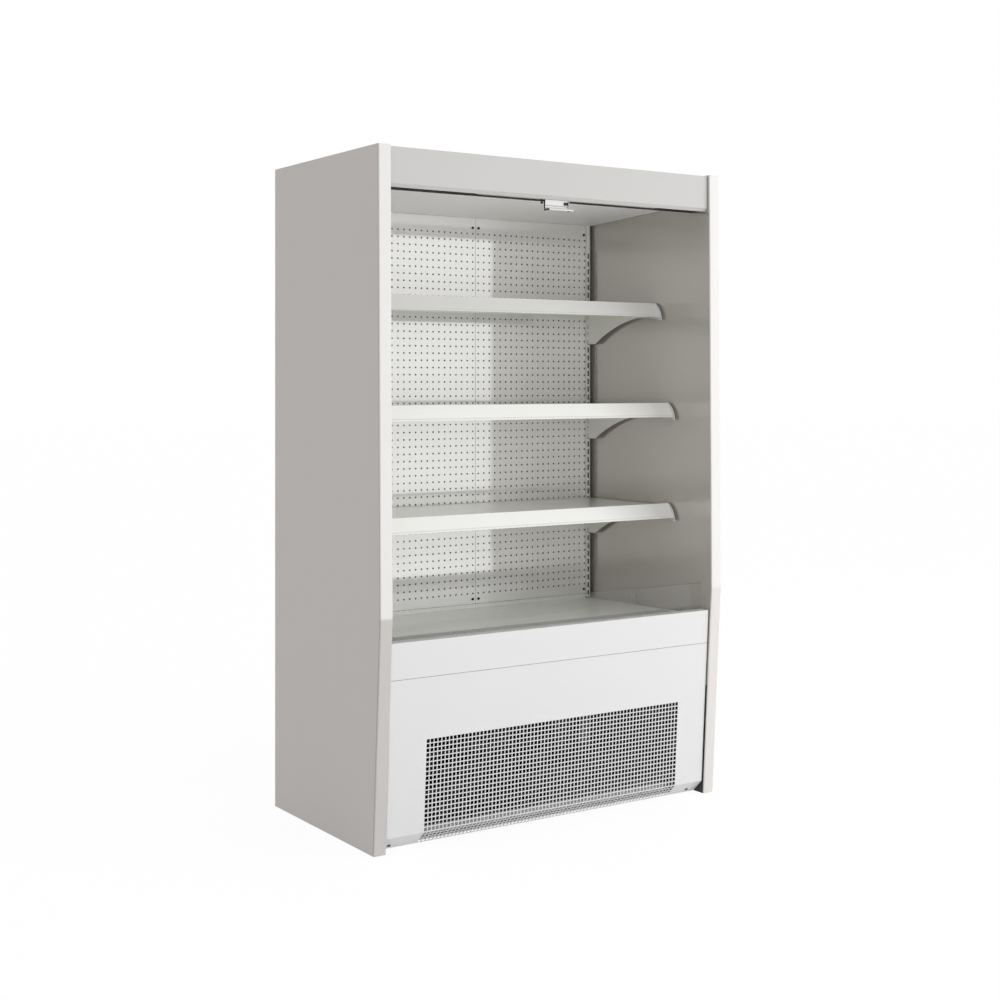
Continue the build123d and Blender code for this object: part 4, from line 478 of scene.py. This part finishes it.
def pane_finish(name, top, side):
    """Clear pane with green at its ground edges: above `top` and beyond x = `side`.

    Below its top edge most light goes straight through, so the pane shades nothing behind it.
    """
    material, tree, shader = blank(name, Roughness=0.01, IOR=1.5, Transmission_Weight=1.0)
    axes = object_axes(tree)
    high = maths(tree, "GREATER_THAN", axes["Z"], top)
    wide = maths(tree, "GREATER_THAN", maths(tree, "ABSOLUTE", axes["X"]), side)
    edge = maths(tree, "MAXIMUM", high, wide)
    smear = use(tree, TONE, Color=(0.97, 0.99, 0.98, 1), Amount=0.02, Scale=6.0)["Color"]
    green = blended(tree, wide, linear(96, 122, 108), linear(10, 18, 14))
    tree.links.new(blended(tree, edge, smear, green), shader.inputs["Base Color"])
    tree.links.new(maths(tree, "MAXIMUM", high, 0.1), shader.inputs["Alpha"])
    return material


# ---------------------------------------------------------------- finishes of the CAD nodes
END_GREY = linear(194, 190, 187)
LINER_GREY = linear(191, 187, 180)
PANEL_GREY = linear(243, 243, 241)
FRONT_WHITE = linear(215, 215, 215)
CANOPY_GREY = linear(190, 189, 187)
SHELVES = ("shelf_1", "shelf_2", "shelf_3")

FINISHES = [
    (coated("end wall lacquer", END_GREY, 0.42, seam=True), ["left_end_skin", "right_end_skin"]),
    (liner_finish("end liner lacquer", LINER_GREY, BAY_CEILING), ["left_end_liner", "right_end_liner"]),
    (trim_finish("edge trim", linear(220, 219, 217), linear(190, 186, 183), linear(212, 209, 206)),
     ["edge_trims"]),
    (coated("canopy paint", CANOPY_GREY, 0.46), ["canopy_front"]),
    (coated("front panel paint", FRONT_WHITE, 0.46), ["riser_panel"]),
    (coated("roof paint", linear(215, 214, 212), 0.5, dust=0.3), ["roof_skin"]),
    (coated("ceiling paint", linear(243, 242, 240), 0.45), ["ceiling_panel"]),
    (shaded_hollow_lacquer("upright lacquer", linear(226, 226, 222), 0.2, *UPRIGHT_SHADE_FROM), ["slotted_uprights"]),
    (coated("shelf paint", linear(240, 240, 236), 0.25, Metallic=0.3), [shelf + "_deck" for shelf in SHELVES]),
    (coated("bracket paint", linear(240, 240, 232), 0.42), [shelf + "_brackets" for shelf in SHELVES]),
    (strip_finish("ticket strip", linear(236, 236, 233)), [shelf + "_ticket_strip" for shelf in SHELVES]),
    (coated("strip end cap", linear(214, 214, 210), 0.45), [shelf + "_end_caps" for shelf in SHELVES]),
    (coated("deck paint", linear(234, 234, 230), 0.35), ["base_deck"]),
    (grille_finish("grille paint", linear(240, 240, 236), linear(158, 157, 154)), ["return_air_grille"]),
    (coated("honeycomb", linear(58, 57, 56), 0.6), ["air_outlet_grille"]),
    (coated("glass channel", linear(222, 222, 222), 0.4, Metallic=0.15), ["glass_channel"]),
    (pane_finish("clear pane", GLASS_TOP, GLASS_SIDE), ["front_glass"]),
    (coated("dark screws", linear(40, 39, 38), 0.35, Metallic=0.7), ["panel_screws"]),
    (coated("black feet", linear(38, 38, 38), 0.6, dust=0.2), ["levelling_feet"]),
    (galvanised("galvanised case", linear(186, 188, 190)), ["rear_skin", "base_pan", "well_liner", "deck_ledges"]),
    # painted shade: the duct lining is dark grey for the shade inside the duct, seen through the holes and the open
    # joint
    (coated("shaded duct lining", linear(70, 68, 66), 0.7), ["duct_liner"]),
    (foam_finish("insulating foam", BAY_CEILING + 0.0015),
     ["left_end_core", "right_end_core", "shell_insulation", "tank_insulation"]),
    (coated("compressor enamel", linear(28, 28, 30), 0.32, dust=0.35), ["compressor"]),
    (coated("rubber grommets", linear(30, 30, 30), 0.8, relief=(900.0, 0.00008)), ["compressor_grommets"]),
    (coated("condenser enamel", linear(46, 44, 42), 0.5, dust=0.25), ["condenser_coil"]),
    (coated("coil fins", linear(190, 192, 196), 0.38, Metallic=0.9), ["evaporator_coil"]),
    (coated("shroud paint", linear(62, 60, 58), 0.5, dust=0.25), ["condenser_shroud", "evaporator_fan_plate"]),
    (coated("fan plastic", linear(44, 44, 46), 0.5, dust=0.2),
     ["condenser_fan", "evaporator_fan_left", "evaporator_fan_right"]),
    (coated("condensate tray", linear(178, 180, 182), 0.5, dust=0.2), ["condensate_tray"]),
    (coated("electrics box", linear(120, 124, 128), 0.5, dust=0.15), ["electrics_box"]),
    (coated("switch rocker", linear(34, 34, 34), 0.3), ["main_switch"]),
    (coated("cable gland", linear(36, 36, 36), 0.55), ["mains_gland"]),
    (coated("pipe sleeve", linear(34, 34, 34), 0.8, relief=(500.0, 0.0001)), ["refrigerant_pipes"]),
    (coated("plated bracket", linear(190, 190, 190), 0.35, Metallic=0.9), ["blind_brackets"]),
    # painted shade: the pull bar is grey for the shade it lies in under the canopy's lip
    (coated("shaded pull bar enamel", linear(158, 157, 154), 0.5, stretch=(0.02, 1, 1)), ["blind_pull_bar"]),
    (handle_finish("handle plastic", linear(214, 214, 213)), ["blind_handle"]),
]
for material, names in FINISHES:
    for node_name in names:
        mesh = nodes[node_name].data
        mesh.materials.clear()
        mesh.materials.append(material)


# ---------------------------------------------------------------- surfaces from arrays
def mesh_piece(name, points, faces, material, body):
    """Piece from an (n, 3) array of points and a list of index arrays, one row to a face."""
    mesh = bpy.data.meshes.new(name)
    counts = np.concatenate([np.full(len(rows), rows.shape[1]) for rows in faces])
    corners = np.concatenate([rows.ravel() for rows in faces]).astype(np.int32)
    mesh.vertices.add(len(points))
    mesh.vertices.foreach_set("co", np.asarray(points, np.float32).ravel())
    mesh.loops.add(len(corners))
    mesh.loops.foreach_set("vertex_index", corners)
    mesh.polygons.add(len(counts))
    mesh.polygons.foreach_set("loop_start", np.concatenate([[0], np.cumsum(counts)[:-1]]).astype(np.int32))
    mesh.polygons.foreach_set("use_smooth", np.full(len(counts), False))
    mesh.update(calc_edges=True)
    mesh.validate()
    mesh.materials.append(material)
    piece = bpy.data.objects.new(name, mesh)
    bpy.context.scene.collection.objects.link(piece)
    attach(piece, body)
    return piece


def pierced_sheet(widths, heights, hole, front, back, sides):
    """Points and faces of a sheet pierced by a grid of equal holes.

    The sheet is a surface of (u, v): u runs along X and v along a bent section, given as rows (v, y, z) of its
    front and of its back, between which y and z are linear in v. widths and heights are (lowest, highest,
    hole centres, cell size) in u and v, and hole is the half width and half height. Round each hole the cell's
    outline, of 4 or 8 points, is joined to the hole's outline by a ring of faces; the rest is one grid.
    """
    u_low, u_high, u_holes, u_cell = widths
    v_low, v_high, v_holes, v_cell = heights
    turn = np.arange(sides) * 2 * pi / sides + (pi / 4 if sides == 4 else 0.0)
    rim = np.stack([np.cos(turn), np.sin(turn)], 1)
    square = rim / np.abs(rim).max(1, keepdims=True)
    inner = rim * (2 ** 0.5 if sides == 4 else 1.0) * np.array(hole)
    outer = square * np.array([u_cell, v_cell]) / 2
    centres = np.stack(np.meshgrid(u_holes, v_holes, indexing="ij"), -1).reshape(-1, 1, 2)
    outer_points, inner_points = centres + outer, centres + inner

    def lines(low, high, middles, cell, folds):
        halves = (-0.5, 0.0, 0.5) if sides == 8 else (-0.5, 0.5)
        marks = [low, high, *folds] + [np.asarray(middles) + half * cell for half in halves]
        return np.unique(np.round(np.hstack(marks), 7))

    def outside(line, middles, cell):
        centre = (line[1:] + line[:-1]) / 2
        return np.abs(centre[:, None] - np.asarray(middles)[None, :]).min(1) > cell / 2

    folds = [v for v in front[:, 0] if v_low < v < v_high]
    us, vs = lines(u_low, u_high, u_holes, u_cell, []), lines(v_low, v_high, v_holes, v_cell, folds)
    free = outside(us, u_holes, u_cell)[:, None] | outside(vs, v_holes, v_cell)[None, :]
    i, j = np.nonzero(free)
    grid = np.stack([np.stack([us[i + a], vs[j + b]], -1) for a, b in ((0, 0), (1, 0), (1, 1), (0, 1))], 1)
    after = np.roll(np.arange(sides), -1)
    ring = np.stack([outer_points, outer_points[:, after], inner_points[:, after], inner_points], 2)
    flat = np.concatenate([grid, ring.reshape(-1, 4, 2)])

    def on_side(corners, side):
        return np.concatenate([corners, np.full(corners.shape[:-1] + (1,), side)], -1)

    def wall(starts, ends):
        return np.stack([on_side(starts, 0), on_side(ends, 0), on_side(ends, 1), on_side(starts, 1)], 1)

    def border(fixed, line, along_u):
        corners = np.stack([line, np.full(len(line), fixed)] if along_u else [np.full(len(line), fixed), line], -1)
        return corners[:-1], corners[1:]

    holes = wall(inner_points.reshape(-1, 2), inner_points[:, after].reshape(-1, 2))
    rims = [
        wall(*border(v_low, us, True))[:, ::-1], wall(*border(v_high, us, True)),
        wall(*border(u_high, vs, False))[:, ::-1], wall(*border(u_low, vs, False)),
    ]
    quads = np.concatenate([on_side(flat, 0), on_side(flat, 1)[:, ::-1], holes, *rims])
    keys, index = np.unique(np.round(quads.reshape(-1, 3), 7), axis=0, return_inverse=True)
    section = np.where(
        keys[:, 2:3] < 0.5,
        np.stack([np.interp(keys[:, 1], front[:, 0], front[:, k]) for k in (1, 2)], -1),
        np.stack([np.interp(keys[:, 1], back[:, 0], back[:, k]) for k in (1, 2)], -1),
    )
    return np.concatenate([keys[:, :1], section], 1), index.reshape(-1, 4)


def carried(path, across, out, profile):
    """Points and faces of a closed profile carried along a path.

    Ring i is path[i] + a * across[i] + b * out[i] for the profile's points (a, b); the two ends are closed.
    """
    path, across, out, profile = (np.asarray(part, float) for part in (path, across, out, profile))
    rings = path[:, None] + profile[None, :, :1] * across[:, None] + profile[None, :, 1:] * out[:, None]
    count, around = rings.shape[:2]
    index = np.arange(count * around).reshape(count, around)
    after = np.roll(index, -1, axis=1)
    sides = np.stack([index[:-1], after[:-1], after[1:], index[1:]], -1).reshape(-1, 4)
    return rings.reshape(-1, 3), [sides, index[:1, ::-1], index[-1:]]


def outward(piece):
    """Merges a piece's doubled points and turns its faces outwards."""
    shell = bmesh.new()
    shell.from_mesh(piece.data)
    bmesh.ops.remove_doubles(shell, verts=shell.verts, dist=1e-6)
    bmesh.ops.recalc_face_normals(shell, faces=shell.faces)
    shell.to_mesh(piece.data)
    shell.free()
    return piece


# ---------------------------------------------------------------- perforated duct panels
DUCT_SHEET = 0.001
DUCT_END = 0.5195                # x of the panels' outer ends
DUCT_JOINT = (0.092, 0.093)      # x of the two ends that meet
DUCT_PITCH_X, DUCT_PITCH_Z = 0.02023, 0.02149
DUCT_LOWEST_ROW, DUCT_ROWS = 0.555, 52
DUCT_COLUMNS = (30, 21)          # left and right of the joint
DUCT_INNER_COLUMNS = (0.0829, 0.1022)     # x of the columns next to the joint
DUCT_HOLE = 0.0028               # radius
DUCT_CELL = 0.018

duct_paint = shaded_hollow_lacquer("duct panel lacquer", PANEL_GREY, 0.06, *DUCT_SHADE_FROM, Metallic=0.42)
duct_front = np.array([(DUCT_FOOT, DUCT_FRONT, DUCT_FOOT), (DUCT_TOP, DUCT_FRONT, DUCT_TOP)])
duct_back = duct_front + (0.0, DUCT_SHEET, 0.0)
duct_rows = DUCT_LOWEST_ROW + DUCT_PITCH_Z * np.arange(DUCT_ROWS)
left_columns = DUCT_INNER_COLUMNS[0] - DUCT_PITCH_X * np.arange(DUCT_COLUMNS[0])[::-1]
right_columns = DUCT_INNER_COLUMNS[1] + DUCT_PITCH_X * np.arange(DUCT_COLUMNS[1])
for name, low, high, columns in (
    ("duct_panel_left", -DUCT_END, DUCT_JOINT[0], left_columns),
    ("duct_panel_right", DUCT_JOINT[1], DUCT_END, right_columns),
):
    points, quads = pierced_sheet(
        (low, high, columns, DUCT_CELL), (DUCT_FOOT, DUCT_TOP, duct_rows, DUCT_CELL),
        (DUCT_HOLE, DUCT_HOLE), duct_front, duct_back, 8,
    )
    panel = mesh_piece(name + "_pierced", points, [quads], duct_paint, "case")
    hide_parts(name)


# ---------------------------------------------------------------- lower front panel with its vent
PANEL_END = 0.528                # x of the panel's right end
PANEL_FOLD, PANEL_TOP = 0.037, 0.442
PANEL_SETBACK = 0.008            # of its face behind the end walls' front edge
PANEL_SHEET = 0.0012
FLANGE = 0.035                   # how far the flange runs back below the fold, and down
RETURN_DEPTH = 0.015
VENT_MIDDLE = 0.0055
VENT_X, VENT_V = 0.01172, 0.01219    # pitches of the slots across the sheet and up it
VENT_HOLE = (0.0046, 0.0048)     # half sizes of a slot
VENT_COLUMNS, FACE_ROWS, FLANGE_ROWS = 72, 20, 4

panel_paint = coated("vent panel paint", FRONT_WHITE, 0.46)
fold_y = FRONT + FOOT_LEAN * (KNEE - PANEL_FOLD) + PANEL_SETBACK
top_y = FRONT + FOOT_LEAN * (KNEE - PANEL_TOP) + PANEL_SETBACK
face_length = hypot(PANEL_TOP - PANEL_FOLD, fold_y - top_y)
flange_length = FLANGE * 2 ** 0.5
lower_front = np.array([
    (-flange_length, fold_y + FLANGE, PANEL_FOLD - FLANGE), (0.0, fold_y, PANEL_FOLD),
    (face_length, top_y, PANEL_TOP),
])
lower_back = lower_front + [(0.0, 0.00085, 0.00085), (0.0, PANEL_SHEET, 0.00045), (0.0, PANEL_SHEET, 0.0)]
face_rows = VENT_V * (np.arange(FACE_ROWS) + 0.5) + 0.0008
flange_rows = -0.0003 - VENT_V * (np.arange(FLANGE_ROWS) + 0.5)
vent_columns = VENT_MIDDLE + VENT_X * (np.arange(VENT_COLUMNS) - (VENT_COLUMNS - 1) / 2)
points, quads = pierced_sheet(
    (-PANEL_END, PANEL_END, vent_columns, VENT_X),
    (-flange_length, face_length, np.sort(np.concatenate([face_rows, flange_rows])), VENT_V),
    VENT_HOLE, lower_front, lower_back, 4,
)
panel = mesh_piece("lower_front_panel_vented", points, [quads], panel_paint, "case")
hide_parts("lower_front_panel")
return_y = top_y + FOOT_LEAN * (PANEL_TOP - BAY_CEILING)
return_section = [
    (fold_y, PANEL_FOLD), (return_y, BAY_CEILING), (return_y + RETURN_DEPTH, BAY_CEILING),
    (fold_y + RETURN_DEPTH, PANEL_FOLD),
]
for name, x in (("left", -PANEL_END), ("right", PANEL_END - PANEL_SHEET)):
    points, faces = carried(
        [(x, 0, 0), (x + PANEL_SHEET, 0, 0)], [(0, 1, 0)] * 2, [(0, 0, 1)] * 2, return_section,
    )
    outward(mesh_piece(f"lower_front_panel_{name}_return", points, faces, panel_paint, "case"))


# ---------------------------------------------------------------- night blind
def rectangle(left, right, foot, top):
    """Corners of an upright rectangle, anticlockwise from its lower left."""
    return np.array([(left, foot), (right, foot), (right, top), (left, top)])


def cloth_section(thickness):
    """Section of the cloth at its full width."""
    return rectangle(-CLOTH_WIDTH / 2, CLOTH_WIDTH / 2, -thickness / 2, thickness / 2)


cloth_weave = woven("blind weave", linear(226, 226, 224))
CLOTH_STEPS = 15
CLOTH_BOW = 0.0006               # how far the hanging cloth bows forward
heights = np.linspace(ROLLER[1], CLOTH_FOOT, CLOTH_STEPS)
bow = CLOTH_BOW * np.sin(pi * (heights - CLOTH_FOOT) / (ROLLER[1] - CLOTH_FOOT))
cloth_path = np.stack([np.zeros(CLOTH_STEPS), CLOTH_Y - bow, heights], 1)
points, faces = carried(
    cloth_path, [(1, 0, 0)] * CLOTH_STEPS, [(0, -1, 0)] * CLOTH_STEPS, cloth_section(0.0004),
)
cloth = outward(mesh_piece("blind_cloth_hanging", points, faces, cloth_weave, "case"))
cloth.parent = None
del cloth["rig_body"]
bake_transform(cloth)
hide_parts("blind_cloth")

# the cloth wound on its tube: radius = WOUND_RADIUS + LAYER * turns
TURNS = 10.0
WOUND_RADIUS, LAYER = 0.01615, 0.00032
TURN_STEPS = 48
angle = np.linspace(pi, pi + 2 * pi * TURNS, int(TURNS * TURN_STEPS) + 1)[::-1]
spiral = WOUND_RADIUS + LAYER * (angle[0] - angle)[::-1] / (2 * pi)
ray = np.stack([np.zeros_like(angle), np.cos(angle), np.sin(angle)], 1)
wound_path = np.array([0, *ROLLER]) + ray * spiral[:, None]
points, faces = carried(wound_path, np.tile((1.0, 0, 0), (len(angle), 1)), ray, cloth_section(0.00026))
wound = outward(mesh_piece("blind_cloth_wound", points, faces, cloth_weave, "blind_roll"))

# black catches: a round stud that hangs from the pull bar beside the handle, and a block on the handle's plate
catch_black = coated("catch black", linear(24, 24, 24), 0.5)
CATCH_FRONT, STUD_BACK, BLOCK_BACK = -0.2985, -0.2940, -0.2945    # y
STUD = (-0.0505, 1.6845)         # x and z of the stud's middle
STUD_RADIUS, STUD_SIDES = 0.0030, 24
STEM_FOOT, STEM_TOP, STEM_WIDTH = 1.6860, 1.6985, 0.0010
turn = np.arange(STUD_SIDES) * 2 * pi / STUD_SIDES
stud = np.array(STUD) + STUD_RADIUS * np.stack([np.cos(turn), np.sin(turn)], 1)
stem = rectangle(STUD[0] - STEM_WIDTH / 2, STUD[0] + STEM_WIDTH / 2, STEM_FOOT, STEM_TOP)
block = rectangle(0.0240, 0.0372, 1.6815, 1.6890)
for name, section, back in (
    ("blind_stud", stud, STUD_BACK), ("blind_stud_stem", stem, STUD_BACK), ("blind_catch", block, BLOCK_BACK),
):
    points, faces = carried([(0, CATCH_FRONT, 0), (0, back, 0)], [(1, 0, 0)] * 2, [(0, 0, 1)] * 2, section)
    outward(mesh_piece(name, points, faces, catch_black, "blind"))

# the tube with its end plugs and pins, a profile (x, radius) turned about the roller's axis
tube_steel = coated("blind tube", linear(196, 197, 198), 0.33, Metallic=0.9, stretch=(0.02, 1, 1))
PIN_END, PLUG_END, TUBE_END = 0.530, 0.5220, 0.5060               # x
PIN_RADIUS, COLLAR_RADIUS, PLUG_RADIUS, TUBE_RADIUS = 0.0040, 0.0052, 0.0159, 0.01585
half_profile = [
    (PIN_END, 0.0), (PIN_END, PIN_RADIUS - 0.0006), (PIN_END - 0.0006, PIN_RADIUS),
    (PLUG_END + 0.0005, PIN_RADIUS), (PLUG_END, COLLAR_RADIUS),
    (PLUG_END, PLUG_RADIUS - 0.0009), (PLUG_END - 0.0010, PLUG_RADIUS),
    (TUBE_END + 0.0010, PLUG_RADIUS), (TUBE_END, TUBE_RADIUS),
]
turned = np.array(half_profile + [(-x, r) for x, r in half_profile[::-1]])
around = np.linspace(0, 2 * pi, TURN_STEPS + 1)
rings = np.stack([
    np.repeat(turned[:, 0, None], len(around), 1),
    ROLLER[0] + turned[:, 1, None] * np.cos(around),
    ROLLER[1] + turned[:, 1, None] * np.sin(around),
], -1)
index = np.arange(len(turned) * len(around)).reshape(-1, len(around))
quads = np.stack([index[:-1, :-1], index[1:, :-1], index[1:, 1:], index[:-1, 1:]], -1).reshape(-1, 4)
tube = outward(mesh_piece("blind_tube", rings.reshape(-1, 3), [quads], tube_steel, "blind_roll"))
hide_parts("blind_roller")


# ---------------------------------------------------------------- floor, world and lights
WHITE_LEVEL = 1.03               # strength at which the floor clips to white
SHADE_X, SHADE_Y, SHADE_FADE = 0.520, 0.215, 0.010    # half sizes of the floor's own shading under the case
FLOOR_REACH = 40
FLOOR_GAP = 0.0005
WORLD_LEVEL = 0.72
LIGHTS_AIM = 1.0                 # height that the lamps look at


def background_rays(tree):
    """1 for rays that look at the background: from the camera, or by way of a mirror or glass."""
    path = place(tree, "LightPath").outputs
    return maths(tree, "MAXIMUM", path["Is Camera Ray"],
                 maths(tree, "MAXIMUM", path["Is Glossy Ray"], path["Is Transmission Ray"]))


def background_material(name, colour, roughness, share):
    """Pale floor whose own shading shows by `share` and plain white by the rest, to the camera and in mirrors.

    Under the case, well inside its outline, the floor's own shading shows in full.
    """
    material, tree, shader = blank(name)
    tone = use(tree, TONE, Color=colour, Amount=0.02, Scale=0.5)["Color"]
    tree.links.new(tone, shader.inputs["Base Color"])
    shader.inputs["Roughness"].default_value = roughness
    white = place(tree, "Emission", {"Color": (1, 1, 1, 1), "Strength": WHITE_LEVEL})
    axes = object_axes(tree)
    wide, deep = (
        shifted(tree, maths(tree, "ABSOLUTE", axes[axis]), half, half + SHADE_FADE, 0.0, 1.0)
        for axis, half in (("X", SHADE_X), ("Y", SHADE_Y))
    )
    bright = maths(tree, "MULTIPLY", background_rays(tree), maths(tree, "MAXIMUM", wide, deep))
    mix = place(tree, "MixShader", {
        0: maths(tree, "MULTIPLY", bright, 1.0 - share), 1: shader.outputs[0], 2: white.outputs[0],
    })
    tree.links.new(mix.outputs[0], tree.nodes["Material Output"].inputs["Surface"])
    return material


floor_mesh = bpy.data.meshes.new("floor")
floor_corners = rectangle(-FLOOR_REACH, FLOOR_REACH, -FLOOR_REACH, FLOOR_REACH)
floor_mesh.from_pydata([(x, y, 0) for x, y in floor_corners], [], [(0, 1, 2, 3)])
floor_mesh.materials.append(background_material("studio floor", linear(240, 240, 240), 0.7, 0.10))
floor = bpy.data.objects.new("floor", floor_mesh)
floor.location = (0, 0, -FLOOR_GAP)
bpy.context.scene.collection.objects.link(floor)
floor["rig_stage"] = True

world = bpy.data.worlds.new("studio")
bpy.context.scene.world = world
world.use_nodes = True
sky = world.node_tree
feed(sky, sky.nodes["Background"], {
    "Color": (1, 1, 1, 1),
    "Strength": maths(sky, "MULTIPLY_ADD", background_rays(sky), 1.0 - WORLD_LEVEL, WORLD_LEVEL),
}.items())


def case_light(name, azimuth, elevation, distance, size, power):
    """Square area light that faces the case from a bearing and a height in degrees."""
    data = bpy.data.lights.new(name, "AREA")
    data.energy, data.shape, data.size = power, "SQUARE", size
    light = bpy.data.objects.new(name, data)
    turn, rise = radians(azimuth), radians(elevation)
    back = np.array([np.sin(turn) * np.cos(rise), -np.cos(turn) * np.cos(rise), np.sin(rise)])
    light.location = np.array([0.0, 0.0, LIGHTS_AIM]) + distance * back
    light.rotation_euler = (pi / 2 - rise, 0.0, turn)
    light.visible_glossy = False
    bpy.context.scene.collection.objects.link(light)


case_light("front fill", -4.0, -2.0, 5.0, 2.6, 54.0)
case_light("right key", 42.0, 4.0, 5.0, 3.0, 98.0)

low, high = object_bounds()
